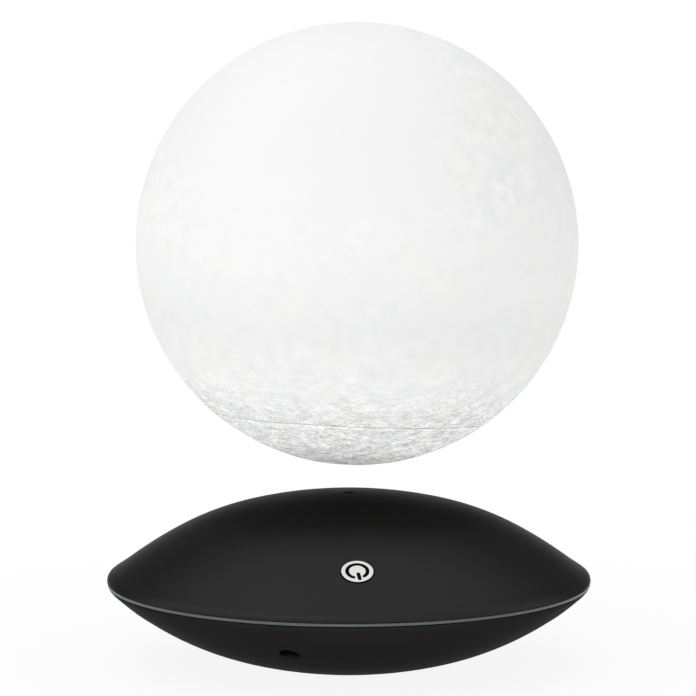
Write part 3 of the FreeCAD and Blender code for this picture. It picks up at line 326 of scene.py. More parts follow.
def tone_effect():
    """Colour in soft clouds: times 1 plus twice the amount times the noise less a half."""
    tree, given, result = effect("tone", [("Vector", "Vector", None), ("Color", "Color", None),
                                          ("Size", "Float", 0.02), ("Amount", "Float", 0.1)],
                                 [("Color", "Color"), ("Cloud", "Float")])
    cloud = noise(tree, given["Vector"], maths(tree, "DIVIDE", 1.0, given["Size"]), 3.0)
    swing = maths(tree, "SUBTRACT", cloud, 0.5)
    gain = times_plus(tree, swing, times(tree, given["Amount"], 2.0), 1.0)
    tree.links.new(scaled(tree, given["Color"], gain), result["Color"])
    tree.links.new(cloud, result["Cloud"])
    return tree


def wear_effect():
    """Mask of rubbed edges: where a rounded copy of the surface turns away from it, broken up by noise.

    It is a ramp of 1 less the cosine between the two, times patches of noise and the amount.
    """
    tree, given, result = effect("edge wear", [("Vector", "Vector", None), ("Width", "Float", 0.0004),
                                               ("Amount", "Float", 1.0)], [("Mask", "Float")])
    rounded = put(tree, "Bevel", {"Radius": given["Width"]}, samples=4).outputs[0]
    along = dot(tree, rounded, put(tree, "NewGeometry").outputs["Normal"])
    turned_away = ramp(tree, maths(tree, "SUBTRACT", 1.0, along), 0.01, 0.2)
    patches = ramp(tree, noise(tree, given["Vector"], 260.0, 3.0), 0.35, 0.65)
    tree.links.new(times(tree, turned_away, patches, given["Amount"]), result["Mask"])
    return tree


def dust_effect():
    """Mask of fine dust: specks times a film of noise, times a ramp of how far the surface faces up."""
    tree, given, result = effect("dust", [("Vector", "Vector", None), ("Amount", "Float", 0.1)],
                                 [("Mask", "Float")])
    settled = ramp(tree, rising(tree, put(tree, "NewGeometry").outputs["Normal"]), 0.3, 1.0)
    specks = ramp(tree, noise(tree, given["Vector"], 900.0, 2.0), 0.45, 0.75)
    film = noise(tree, given["Vector"], 45.0, 2.0)
    tree.links.new(times(tree, specks, film, settled, given["Amount"]), result["Mask"])
    return tree


def crater_layer(tree, vector, scale):
    """Height of one size of crater: a bowl plus four fifths of a rim, in some cells of a random mosaic."""
    cell = put(tree, "TexVoronoi", {"Vector": vector, "Scale": scale}).outputs
    away = cell["Distance"]
    bowl = ramp(tree, away, 0.08, 0.36, -1.0, 0.0)
    rim = times(tree, ramp(tree, away, 0.26, 0.36), ramp(tree, away, 0.36, 0.56, 1.0, 0.0))
    chosen = ramp(tree, put(tree, "SeparateColor", {0: cell["Color"]}).outputs[0], 0.35, 0.8)
    return times(tree, times_plus(tree, rim, 0.8, bowl), chosen)


def print_effect():
    """Skin of a layered print: flat streaks along the layers, fine grit, small craters and painted glints.

    The shade is craters and lumps times a share that falls with Low, plus streaks times one that grows with
    it. Times Rough, it is put out as a painted shade and light of the relief: darker in the bowls, lighter on the
    rims and streaked along the layers. The height is the shade plus the grit, times a share that grows with Rough.
    """
    tree, given, result = effect("print", [("Vector", "Vector", None), ("Rough", "Float", 0.5),
                                           ("Low", "Float", 0.0)],
                                 [("Height", "Float"), ("Painted_Shade", "Float"), ("Painted_Glint", "Float")])
    wander = put(tree, "TexNoise", {"Vector": given["Vector"], "Scale": 160.0, "Detail": 2.0}).outputs[1]
    moved = {0: given["Vector"], 1: scaled(tree, wander, 0.004)}
    bent = put(tree, "VectorMath", moved, operation="ADD").outputs[0]
    flat = put(tree, "Mapping", {"Vector": bent, "Scale": (1.0, 1.0, 3.4)}).outputs[0]
    craters = times_plus(tree, crater_layer(tree, bent, 250.0), 0.5, crater_layer(tree, bent, 105.0))
    lumps = times_plus(tree, craters, 0.16, centred_noise(tree, bent, 190.0, 5.0, 0.62))
    thread = centred_noise(tree, flat, 900.0, 3.0, 0.6)
    streak = times_plus(tree, thread, 0.9, centred_noise(tree, flat, 240.0, 5.0, 0.68))
    layers = times(tree, streak, times_plus(tree, given["Low"], 2.2, 0.1))
    shade = times_plus(tree, lumps, times_plus(tree, given["Low"], -0.5, 0.75), layers)
    height = times_plus(tree, centred_noise(tree, given["Vector"], 1100.0, 2.0), 0.3, shade)
    height = times(tree, height, times_plus(tree, given["Rough"], 0.95, 0.05))
    # Painted glints: small white spots in some cells of a mosaic, in the colour and in the glow
    spark = put(tree, "TexVoronoi", {"Vector": flat, "Scale": 640.0}).outputs
    picked = ramp(tree, put(tree, "SeparateColor", {0: spark["Color"]}).outputs[1], 0.7, 0.95)
    point = ramp(tree, spark["Distance"], 0.08, 0.4, 1.0, 0.0)
    tree.links.new(height, result["Height"])
    tree.links.new(times(tree, shade, given["Rough"]), result["Painted_Shade"])
    tree.links.new(times(tree, picked, point, maths(tree, "POWER", given["Low"], 2.0)), result["Painted_Glint"])
    return tree


EFFECTS = {"grain": grain_effect(), "tone": tone_effect(), "wear": wear_effect(), "dust": dust_effect(),
           "print": print_effect()}


def use(tree, name, inputs):
    """A shared effect placed in a material with its own values."""
    made = tree.nodes.new("ShaderNodeGroup")
    made.node_tree = EFFECTS[name]
    feed(tree, made.inputs, inputs)
    return made.outputs


def new_material(name):
    """Material with its own tree, object coordinates and Principled shader."""
    made = bpy.data.materials.new(name)
    made.use_nodes = True
    tree = made.node_tree
    tree.nodes.clear()
    shader = put(tree, "BsdfPrincipled")
    tree.links.new(shader.outputs[0], put(tree, "OutputMaterial").inputs["Surface"])
    place = put(tree, "TexCoord").outputs["Object"]
    return made, tree, place, shader.inputs


def node_in(tree, kind):
    """The one node of a kind in a material's tree."""
    return next(node for node in tree.nodes if node.type == kind)


def finish(name, colour, roughness, metallic=0.0, specular=0.5, grain=0.0005, bump=0.00002, cloud=0.02,
           amount=0.12, spread=0.08, worn=0.3, dusty=0.0):
    """Finish of a hard piece: clouded colour, moulded or rolled grain, rubbed edges and a little dust.

    The roughness is the given one, plus the spread times the clouds and the specks, and more in dust.
    """
    made, tree, place, shader = new_material(name)
    tone = use(tree, "tone", {"Vector": place, "Color": rgb(*colour), "Size": cloud, "Amount": amount})
    lighter = tuple(min(1.0, part * 1.5 + 0.02) for part in colour)
    wear = use(tree, "wear", {"Vector": place, "Amount": worn})
    rubbed = mixed(tree, wear["Mask"], tone["Color"], rgb(*lighter))
    dust = use(tree, "dust", {"Vector": place, "Amount": dusty})
    tree.links.new(mixed(tree, dust["Mask"], rubbed, rgb(*DUST_COLOUR)), shader["Base Color"])
    grit = use(tree, "grain", {"Vector": place, "Size": grain})
    rough = times_plus(tree, maths(tree, "SUBTRACT", tone["Cloud"], 0.5), spread * 2, roughness)
    rough = times_plus(tree, grit["Speck"], spread, rough)
    tree.links.new(times_plus(tree, dust["Mask"], 0.3, rough), shader["Roughness"])
    bumped = put(tree, "Bump", {"Height": grit["Height"], "Distance": bump, "Strength": 1.0})
    tree.links.new(bumped.outputs[0], shader["Normal"])
    shader["Metallic"].default_value = metallic
    shader["Specular IOR Level"].default_value = specular
    return made


def printed_white():
    """White print with a faint glow that is partly painted light: painted shade of craters and streaks by the
    masks, warm and cool tints, painted glints and a brown seam.

    The glow is its mask times the gain of the painted shade, halved in the seam, plus a fifth of the painted
    glints.
    """
    made, tree, place, shader = new_material("printed_white")
    centred = put(tree, "Mapping", {"Vector": place, "Location": tuple(-part for part in moon_centre)})
    turned = {"Vector": centred.outputs[0], "Rotation": tuple(upright_turn.to_euler())}
    upright = put(tree, "Mapping", turned).outputs[0]
    rough, low, seam, glow_and_painted_light = (put(tree, "Attribute", attribute_name=name).outputs["Fac"]
                              for name in ("rough", "low", "seam", "glow_and_painted_light"))
    skin = use(tree, "print", {"Vector": upright, "Rough": rough, "Low": low})
    tone = use(tree, "tone", {"Vector": upright, "Color": rgb(*PRINT_WHITE), "Size": 0.03, "Amount": 0.012})
    tint = noise(tree, upright, 60.0, 3.0)
    warm = mixed(tree, times(tree, ramp(tree, tint, 0.53, 0.68), rough), tone["Color"], rgb(*PRINT_WARM))
    tinted = mixed(tree, times(tree, ramp(tree, tint, 0.47, 0.32), rough), warm, rgb(*PRINT_COOL))
    # Gain of the painted shade and light of the relief, for the colour and the glow
    gain = times_plus(tree, skin["Painted_Shade"], 0.75, 1.0)
    painted_glints = mixed(tree, skin["Painted_Glint"], scaled(tree, tinted, gain), rgb(1.0, 1.0, 1.0))
    tree.links.new(mixed(tree, seam, painted_glints, rgb(*SEAM_BROWN)), shader["Base Color"])
    tree.links.new(times_plus(tree, rough, -0.1, 0.62), shader["Roughness"])
    # Emission: the lamp's faint glow with painted light and shade by height, times the painted relief shade, plus
    # painted glints
    lit = times(tree, glow_and_painted_light, gain, times_plus(tree, seam, -0.5, 1.0))
    lit = times_plus(tree, skin["Painted_Glint"], 0.2, lit)
    tree.links.new(scaled(tree, GLOW_AND_PAINTED_LIGHT_WHITE, lit), shader["Emission Color"])
    shader["Emission Strength"].default_value = 1.0
    bumped = put(tree, "Bump", {"Height": skin["Height"], "Distance": 0.0006, "Strength": 1.0})
    tree.links.new(bumped.outputs[0], shader["Normal"])
    shader["Specular IOR Level"].default_value = 0.0
    return made


def satin_black():
    """Smooth satin black under a clear sheen, which is least on the crown as a painted shadow of the ball. Colour
    and sheen are darkened as painted shade in the wells and on the button's cap, and as black ink on the symbol's
    strokes.

    The sheen is the sum of a part for what faces the viewer, one that grows away from the crown, which is the
    painted shadow, and one for the edge. What faces down has a weaker mix of the first and the last, and a part of
    its own: a painted sheen that sets how light the lower shell looks.
    """
    made = finish("satin_black", SHELL_BLACK, 0.5, specular=0.0, bump=0.0000015, cloud=0.05, amount=0.05,
                  spread=0.03, worn=0.1)
    tree = made.node_tree
    shader = node_in(tree, "BSDF_PRINCIPLED").inputs
    place = node_in(tree, "TEX_COORD").outputs["Object"]
    # Darkening of colour and sheen: painted shade in the wells, growing further in, and on the button's cap round
    # its face, and black ink on the symbol's strokes
    shade_and_ink = put(tree, "Attribute", attribute_name="shade_and_ink").outputs["Fac"]
    shaded_and_inked = times(tree, shade_and_ink, ramp(tree, rising(tree, place), WELL_FOOT, WELL_FOOT + SHADE_AND_INK_FADE))
    outside_shade_and_ink = times_plus(tree, shaded_and_inked, -SHADE_AND_INK_DARKENING, 1.0)
    colour = shader["Base Color"].links[0].from_socket
    tree.links.new(scaled(tree, colour, outside_shade_and_ink), shader["Base Color"])
    # Sheen by place: weak near the axis as a painted shadow of the ball
    sheen_out_of_painted_shadow = ramp(tree, off_axis(tree, place), *CROWN_EDGE, CROWN_PAINTED_SHADOW_SHEEN, FLANK_SHEEN)
    facing = put(tree, "LayerWeight", {"Blend": 0.5}).outputs["Facing"]
    slope = ramp(tree, facing, 0.3, SHEEN_TURN, SLOPE_SHEEN, 0.0)
    edge = ramp(tree, facing, SHEEN_TURN, 1.0)
    edge = times(tree, edge, edge, EDGE_SHEEN)
    above = maths(tree, "ADD", maths(tree, "ADD", slope, sheen_out_of_painted_shadow), edge)
    # Sheen for what faces down: a painted sheen that sets how light the lower shell looks
    below = times_plus(tree, edge, 0.3, times_plus(tree, slope, 0.4, UNDER_PAINTED_SHEEN))
    under = ramp(tree, rising(tree, put(tree, "NewGeometry").outputs["Normal"]), 0.1, -0.3)
    sheen = times_plus(tree, above, maths(tree, "SUBTRACT", 1.0, under), times(tree, below, under))
    tree.links.new(times(tree, sheen, outside_shade_and_ink), shader["Coat Weight"])
    shader["Coat Roughness"].default_value = 0.5
    return made


def milky_band():
    """Milky plastic in faint clouds, grey-green while the strip behind it is off."""
    made, tree, place, shader = new_material("milky_band")
    tone = use(tree, "tone", {"Vector": place, "Color": rgb(*BAND_GREEN), "Size": 0.03, "Amount": 0.1})
    tree.links.new(tone["Color"], shader["Base Color"])
    grit = use(tree, "grain", {"Vector": place, "Size": 0.0006})
    tree.links.new(times_plus(tree, tone["Cloud"], 0.12, 0.32), shader["Roughness"])
    bumped = put(tree, "Bump", {"Height": grit["Height"], "Distance": 0.000012, "Strength": 1.0})
    tree.links.new(bumped.outputs[0], shader["Normal"])
    shader["Specular IOR Level"].default_value = 0.4
    return made


def points_placed(points, turn, move):
    """Points turned by a matrix and moved."""
    return points @ np.asarray(turn).T + np.asarray(move)


def linked(name, data):
    """New object in the scene that holds a mesh, a lamp or a camera."""
    piece = bpy.data.objects.new(name, data)
    bpy.context.scene.collection.objects.link(piece)
    return piece


def shade_smooth(mesh):
    """All faces of the mesh shaded smooth."""
    mesh.polygons.foreach_set("use_smooth", np.ones(len(mesh.polygons), bool))


def ring_piece(name, points, poles=True):
    """Closed piece from a grid of points, rows by columns by 3, whose columns run round and close.

    With poles the first and the last row each shrink to one point. Without, the last row joins the first.
    """
    rows, columns = points.shape[:2]
    if poles:
        ring = points[1:-1].reshape(-1, 3)
        vertices = np.concatenate([points[:1, 0], ring, points[-1:, 0]])
        count, first, joined_rows = rows - 2, 1, rows - 3
    else:
        vertices = points.reshape(-1, 3)
        count, first, joined_rows = rows, 0, rows
    column = np.arange(columns)
    after = (column + 1) % columns
    row = np.arange(joined_rows)[:, None]
    here = first + row * columns
    below = first + ((row + 1) % count) * columns
    quads = np.stack([here + column, below + column, below + after, here + after], axis=-1).reshape(-1, 4)
    faces = quads.tolist()
    if poles:
        last = len(vertices) - 1
        end = first + (count - 1) * columns
        faces += np.stack([np.zeros(columns, int), first + column, first + after], axis=-1).tolist()
        faces += np.stack([end + column, np.full(columns, last), end + after], axis=-1).tolist()
    mesh = bpy.data.meshes.new(name)
    mesh.from_pydata(vertices.tolist(), [], faces)
    # Six times the volume between the quads and the origin, which is negative where they are wound inwards
    corners = vertices[quads]
    volume = np.einsum("ij,ij->", np.cross(corners[:, 0], corners[:, 1]), corners[:, 2])
    volume += np.einsum("ij,ij->", np.cross(corners[:, 0], corners[:, 2]), corners[:, 3])
    if volume < 0:
        mesh.flip_normals()
    shade_smooth(mesh)
    return linked(name, mesh)


def turned_points(profile, columns):
    """A profile of radius and height pairs turned once round the Z axis.

    x is the radius times the cosine of the angle, y the radius times its sine, and z the height.
    """
    angle = np.linspace(0, 2 * np.pi, columns, endpoint=False)
    radii, heights = np.asarray(profile, float).T[..., None]
    heights = np.broadcast_to(heights, (len(heights), columns))
    return np.stack([radii * np.cos(angle), radii * np.sin(angle), heights], axis=-1)


def eased(value, low, high):
    """0 below low, 1 above high and smooth between: three times the share squared, less twice its cube."""
    share = np.clip((value - low) / (high - low), 0, 1)
    return share * share * (3 - 2 * share)


def lattice_noise(points, cells, seed):
    """Smooth random field from -1 to 1: random values at the corners of a cubic lattice, blended between.

    A corner's weight is the product over the three axes of the eased share of the way towards it.
    """
    values = np.random.default_rng(seed).uniform(-1, 1, (LATTICE, LATTICE, LATTICE))
    place = points * cells + LATTICE
    low = np.floor(place).astype(int)
    share = place - low
    share = share * share * (3 - 2 * share)
    total = np.zeros(points.shape[:-1])
    for corner in np.ndindex(2, 2, 2):
        index = (low + corner) % LATTICE
        weight = np.prod(np.where(np.array(corner, bool), share, 1 - share), axis=-1)
        total += weight * values[index[..., 0], index[..., 1], index[..., 2]]
    return total


def layered_noise(points, cells, layers, seed):
    """Sum of noise fields, each twice as fine and half as strong as the one before."""
    return sum(lattice_noise(points, cells * 2 ** layer, seed + layer) / 2 ** layer
               for layer in range(layers))


def low_mask(directions):
    """How far down the moon a place lies: 0 above the lower third and 1 at the foot, with a ragged start.

    It is the eased value of the way down as a share of the radius, plus a little noise.
    """
    ragged = 0.06 * layered_noise(directions, 3.0, 3, 81)
    return eased(-directions[..., 2] + ragged, 0.4, 0.95)


def roughness_mask(directions):
    """How rough the print is: smooth round one side, a rough belt round that, and rough towards the bottom.

    The belt is a bell curve of the angle from the smooth side, weaker in the lower half. To it come a share
    for what lies beyond the belt, one for the lower half and one for the foot, and the sum is held to 0..1.
    """
    side = np.array(SMOOTH_SIDE) / np.linalg.norm(SMOOTH_SIDE)
    away = np.degrees(np.arccos(np.clip(directions @ side, -1, 1)))
    away = away + 7 * layered_noise(directions, 2.6, 3, 71)
    belt = np.exp(-((away - BELT_ANGLE) / BELT_WIDTH) ** 2)
    belt = belt * (0.4 + 0.6 * eased(directions[..., 2], -0.2, 0.3))
    beyond = eased(away, BELT_ANGLE, BELT_ANGLE + BELT_WIDTH) * (0.16 + 0.3 * eased(away, 85, 125))
    lower = eased(-directions[..., 2], 0.15, 0.75)
    total = 0.03 + 0.36 * belt + beyond + 0.28 * lower + 0.65 * low_mask(directions)
    return np.clip(total, 0, 1)


def crater_field(directions):
    """Sum of bowls with raised rims, many small and few large, placed at random over the ball.

    With t the distance from a crater's middle over its size, the bowl is a power of 1 less t squared, and the
    rim a bell curve round a t just over 1. Both are times the depth, a power of the size by a random share.
    """
    random = np.random.default_rng(20)
    height = np.zeros(directions.shape[:-1])
    for number in range(CRATERS):
        place = random.normal(size=3)
        place /= np.linalg.norm(place)
        size = CRATER_SMALL * (CRATER_LARGE / CRATER_SMALL) ** (random.random() ** CRATER_RARITY)
        depth = CRATER_DEPTH * size ** CRATER_DEPTH_POWER * random.uniform(0.5, 1.0)
        away = np.linalg.norm(directions - place, axis=-1) / size
        near = away < CRATER_REACH
        bowl = np.maximum(1 - away[near] ** 2, 0) ** CRATER_BOWL_POWER
        rim = CRATER_RIM * np.exp(-((away[near] - CRATER_RIM_PLACE) / CRATER_RIM_WIDTH) ** 2)
        height[near] += depth * (rim - bowl)
    return height


def moon_depth(directions):
    """How far the moon's skin lies inside its full radius: terrain and craters, strongest where it is rough.

    The height is held under the full radius softly: the depth is a step times the logarithm of 1 plus the
    exponential of the step less the height, over the step.
    """
    rough = roughness_mask(directions)
    broad = BROAD_RELIEF * layered_noise(directions, 3.0, 3, 5)
    fine = FINE_RELIEF * layered_noise(directions * np.array(FINE_STRETCH), 14.0, 3, 31)
    craters = crater_field(directions) * (0.35 + 0.65 * rough)
    height = broad + fine * (0.12 + 0.88 * rough) + craters
    return RELIEF_TOP * np.log1p(np.exp((RELIEF_TOP - height) / RELIEF_TOP))


# Places and turns that follow from the frame and from the numbers above
moon_joint = next(joint for joint in frame["joints"] if joint["name"] == "moon_spin")
moon_axis = np.array(moon_joint["axis"])
press_joint = next(joint for joint in frame["joints"] if joint["name"] == "button_press")
button_out = -np.array(press_joint["axis"])
button_slope = math.atan2(-button_out[1], button_out[2])
button_axes = np.array([[1.0, 0.0, 0.0], [0.0, math.cos(button_slope), math.sin(button_slope)],
                        [0.0, -math.sin(button_slope), math.cos(button_slope)]])
well_angles = [math.radians(WELL_TURN + 360.0 * number / WELL_COUNT) for number in range(WELL_COUNT)]
well_places = [(WELL_CIRCLE * math.cos(angle), WELL_CIRCLE * math.sin(angle)) for angle in well_angles]
upright_turn = Vector(moon_axis).rotation_difference(Vector((0.0, 0.0, 1.0)))
globe_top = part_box("moon_globe")[1].z
pivot = np.array(moon_joint["pos_m"])
moon_centre = pivot + moon_axis * (globe_top - MOON_RADIUS - pivot[2]) / moon_axis[2]
moon_turn = np.array(upright_turn.inverted().to_matrix())
moon_inner = MOON_RADIUS - MOON_WALL
seam_height = -math.sqrt(MOON_RADIUS ** 2 - SEAM_RADIUS ** 2)
seam_angle = math.acos(seam_height / MOON_RADIUS)
pocket_floor = -(math.sqrt(MOON_RADIUS ** 2 - POCKET_RADIUS ** 2) - MOON_WALL)


def moon_glow_and_painted_light(height):
    """Glow by height, given as a share of the ball's radius.

    It is the lamp's own faint level, plus painted light in a belt and at the foot that each come in by an eased
    ramp, less a painted shade at the very bottom.
    """
    glow_and_painted_light = MOON_GLOW + BELT_PAINTED_LIGHT * eased(-height, *BELT_PAINTED_LIGHT_RANGE)
    return glow_and_painted_light + FOOT_PAINTED_LIGHT * eased(-height, *FOOT_PAINTED_LIGHT_RANGE) - POLE_PAINTED_SHADE * eased(-height, *POLE_RANGE)


def moon_piece(name, start, end, rows, inside, material):
    """Part of the moon: its outer skin from one polar angle to another, closed through the inside's profile.

    A point of the skin is its direction times the full radius less the depth of the relief there. The seam's
    rounding, which adds to the depth, and its brown line are bell curves of the distance from the seam.
    """
    last = end - math.copysign(SEAM_ZONE / MOON_RADIUS, end - start)
    polar = np.concatenate([np.linspace(start, last, rows), np.linspace(last, end, SEAM_ROWS)[1:]])
    rows = len(polar)
    around = np.linspace(0, 2 * np.pi, GLOBE_COLUMNS, endpoint=False)
    sine = np.sin(polar)[:, None]
    upward = np.broadcast_to(np.cos(polar)[:, None], (rows, GLOBE_COLUMNS))
    directions = np.stack([sine * np.cos(around), sine * np.sin(around), upward], axis=-1)
    from_seam = np.abs(polar - seam_angle)[:, None] * MOON_RADIUS
    depth = moon_depth(directions) + SEAM_ROUND * np.exp(-(from_seam / SEAM_ROUND) ** 2)
    skin = directions * (MOON_RADIUS - depth)[..., None]
    rest = turned_points(inside, GLOBE_COLUMNS)
    piece = ring_piece(name, points_placed(np.concatenate([skin, rest]), moon_turn, moon_centre))
    blank = np.zeros(rest.shape[:2])
    line = np.broadcast_to(np.exp(-(from_seam / SEAM_LINE) ** 2), depth.shape)
    # Glow of the skin by its height, partly the lamp's own and partly painted light; the inside gets the level at
    # INSIDE_HEIGHT
    glow_and_painted_light = moon_glow_and_painted_light(np.concatenate([directions[..., 2], np.full(rest.shape[:2], INSIDE_HEIGHT)]))
    # A painted highlight along the cap's lip just under the seam, added to its glow
    if start > seam_angle:
        glow_and_painted_light[:rows] += SEAM_LIP_HIGHLIGHT * np.exp(-((from_seam - SEAM_LIP_PLACE) / SEAM_LIP_WIDTH) ** 2)
    masks = {"rough": np.concatenate([roughness_mask(directions), blank]),
             "low": np.concatenate([low_mask(directions), blank]),
             "seam": np.concatenate([line, blank]), "glow_and_painted_light": glow_and_painted_light}
    for attribute, values in masks.items():
        flat = np.concatenate([values[:1, 0], values[1:-1].ravel(), values[-1:, 0]])
        layer = piece.data.attributes.new(attribute, "FLOAT", "POINT")
        layer.data.foreach_set("value", flat.astype(np.float32))
    piece.data.materials.append(material)
    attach(piece, "moon")
    return piece


def globe(material):
    """Printed ball above the seam, with the step that the cap's ring fits."""
    step_top = seam_height + SEAM_STEP_HEIGHT
    last = math.acos(step_top / moon_inner)
    inside = [(SEAM_STEP_RADIUS, seam_height), (SEAM_STEP_RADIUS, step_top)]
    inside += [(moon_inner * math.sin(angle), moon_inner * math.cos(angle))
               for angle in np.linspace(last, 0, INSIDE_ROWS)]
    piece = moon_piece("printed_globe", 0.0, seam_angle, GLOBE_ROWS, inside, material)
    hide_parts("moon_globe")


def cap(material):
    """Printed cap below the seam: its ring, the slope inside it and the wall of the magnet's pocket."""
    ring_top = seam_height + SEAM_STEP_HEIGHT - FIT_GAP
    ring_foot = -math.sqrt(moon_inner ** 2 - CAP_RING_INNER ** 2)
    wall_outer = POCKET_RADIUS + POCKET_WALL
    share = (wall_outer - POCKET_RADIUS) / (CAP_RING_INNER - POCKET_RADIUS)
    slope_foot = pocket_floor + share * (ring_foot - pocket_floor)
    wall_top = pocket_floor + POCKET_WALL_HEIGHT
    inside = [(SEAM_STEP_RADIUS - FIT_GAP, seam_height), (SEAM_STEP_RADIUS - FIT_GAP, ring_top),
              (CAP_RING_INNER, ring_top), (CAP_RING_INNER, ring_foot), (wall_outer, slope_foot),
              (wall_outer, wall_top), (POCKET_RADIUS, wall_top), (POCKET_RADIUS, pocket_floor),
              (0.0, pocket_floor)]
    piece = moon_piece("printed_cap", math.pi, seam_angle, CAP_ROWS, inside, material)
    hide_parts("moon_cap")


def read_all(items, name, width=3, kind=float):
    """One property of all items of a mesh, as rows of width numbers."""
    values = np.empty(len(items) * width, kind)
    items.foreach_get(name, values)
    return values.reshape(-1, width)


def set_shade_and_ink(mesh, shade_and_ink_faces):
    """Mark on the mesh which faces are darkened: painted shade in wells and gaps, black ink on the symbol's
    strokes.
    """
    mesh.attributes.new("shade_and_ink", "FLOAT", "FACE").data.foreach_set("value", shade_and_ink_faces.astype(np.float32))


def smooth_copy(name, node, slot, body, lift=None, shaded_and_inked=None):
    """The piece with its corners merged, lifted by a rule, and shaded smooth up to the crease angle.

    lift takes the points and gives their new heights. shaded_and_inked takes the faces' middles and says which of
    them lie in a well or gap, where the piece is darkened as painted shade.
    """
    mesh = frame["nodes"][node].data.copy()
    mesh.name = name
    work = bmesh.new()
    work.from_mesh(mesh)
    bmesh.ops.remove_doubles(work, verts=work.verts, dist=MERGE_DISTANCE)
    work.to_mesh(mesh)
    work.free()
    if lift:
        points = read_all(mesh.vertices, "co")
        points[:, 2] = lift(points)
        mesh.vertices.foreach_set("co", points.ravel())
    middles = read_all(mesh.polygons, "center")
    set_shade_and_ink(mesh, shaded_and_inked(middles) if shaded_and_inked else np.zeros(len(middles)))
    shade_smooth(mesh)
    mesh.set_sharp_from_angle(angle=math.radians(SHELL_CREASE))
    mesh.materials.clear()
    mesh.materials.append(FINISHES[slot])
    piece = linked(name, mesh)
    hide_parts(node)
    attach(piece, body)
    return piece


def skin_smoothed(mesh):
    """Corner normals of the skin round each well, mended so that its long facets don't show.

    A corner's lean is the angle between its normal and straight down, outwards. Near a well it is taken from
    the same radius elsewhere: the median lean in each of a row of steps of radius, and evenly between them.
    """
    points = read_all(mesh.vertices, "co")[read_all(mesh.loops, "vertex_index", 1, int)[:, 0]]
    normals = read_all(mesh.corner_normals, "vector")
    corners = read_all(mesh.polygons, "loop_total", 1, int)[:, 0]
    face = np.repeat(np.arange(len(mesh.polygons)), corners)
    middles = read_all(mesh.polygons, "center")
    from_circle = np.abs(np.hypot(middles[:, 0], middles[:, 1]) - WELL_CIRCLE)
    skin = (read_all(mesh.polygons, "normal")[:, 2] < SKIN_SLOPE) & (from_circle < SKIN_WIDTH)
    away = from_wells(middles)
    near = (skin & (away > WELL_RADIUS) & (away < SKIN_REACH))[face]
    far = (skin & (away >= SKIN_REACH))[face]
    radius = np.hypot(points[:, 0], points[:, 1])
    outward = np.einsum("ij,ij->i", normals[:, :2], points[:, :2]) / radius
    lean = np.arctan2(outward, -normals[:, 2])
    steps = np.array_split(np.argsort(radius[far]), SKIN_STEPS)
    middle_radius = [np.median(radius[far][step]) for step in steps]
    middle_lean = [np.median(lean[far][step]) for step in steps]
    found = np.interp(radius[near], middle_radius, middle_lean)
    normals[near, :2] = points[near, :2] / radius[near, None] * np.sin(found)[:, None]
    normals[near, 2] = -np.cos(found)
    mesh.normals_split_custom_set(normals.tolist())


def from_wells(points):
    """How far each point lies from the axis of the nearest screw well."""
    return np.min([np.hypot(points[:, 0] - x, points[:, 1] - y) for x, y in well_places], axis=0)


def in_well(points):
    """Which points lie inside one of the screw wells."""
    return from_wells(points) < WELL_RADIUS


def lifted_upper(points):
    """Heights of the upper shell's points once its rim has come up to the groove over the band.

    Outside the band's back they rise by the lift times the eased share of the way down to the rim.
    """
    share = eased(UPPER_RIM + UPPER_LIFT_REACH - points[:, 2], 0.0, UPPER_LIFT_REACH)
    outside = np.hypot(points[:, 0], points[:, 1]) > BAND_BACK
    return points[:, 2] + UPPER_LIFT * share * outside


def lifted_lower(points):
    """Heights of the lower shell's points once its rim has come up to the groove under the band.

    In the outer part they rise by the lift times the eased share of the way up to the rim.
    """
    share = eased(points[:, 2], LOWER_RIM - LOWER_LIFT_REACH, LOWER_RIM)
    outside = np.hypot(points[:, 0], points[:, 1]) > LOWER_LIFT_INNER
    return points[:, 2] + LOWER_LIFT * share * outside


def band_ring():
    """Milky band, a profile turned once round: its thin face, a groove on each side of it and its web."""
    bottom = LOWER_RIM + LOWER_LIFT
    top = UPPER_RIM + UPPER_LIFT
    web_top = UPPER_RIM + BAND_WEB_RISE
    profile = [(BAND_INNER, LOWER_RIM), (BAND_BACK, LOWER_RIM), (BAND_BACK, bottom), (BAND_SEAT, bottom),
               (BAND_SEAT, BAND_FOOT), (BAND_RADIUS - BAND_ROUND, BAND_FOOT),
               (BAND_RADIUS, BAND_FOOT + BAND_ROUND), (BAND_RADIUS, BAND_HEAD - BAND_ROUND),
               (BAND_RADIUS - BAND_ROUND, BAND_HEAD), (BAND_SEAT, BAND_HEAD), (BAND_SEAT, top),
               (BAND_BACK, top), (BAND_BACK, web_top), (BAND_INNER, web_top)]
    piece = ring_piece("milky_band", turned_points(profile, BAND_COLUMNS), poles=False)
    piece.data.set_sharp_from_angle(angle=math.radians(TURNED_CREASE))
    piece.data.materials.append(FINISHES["milky_band"])
    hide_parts("light_ring")
    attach(piece, "base")


def on_button(points):
    """Points given in the button's plane, placed on the flank."""
    return points @ button_axes + np.array(BUTTON_POINT)


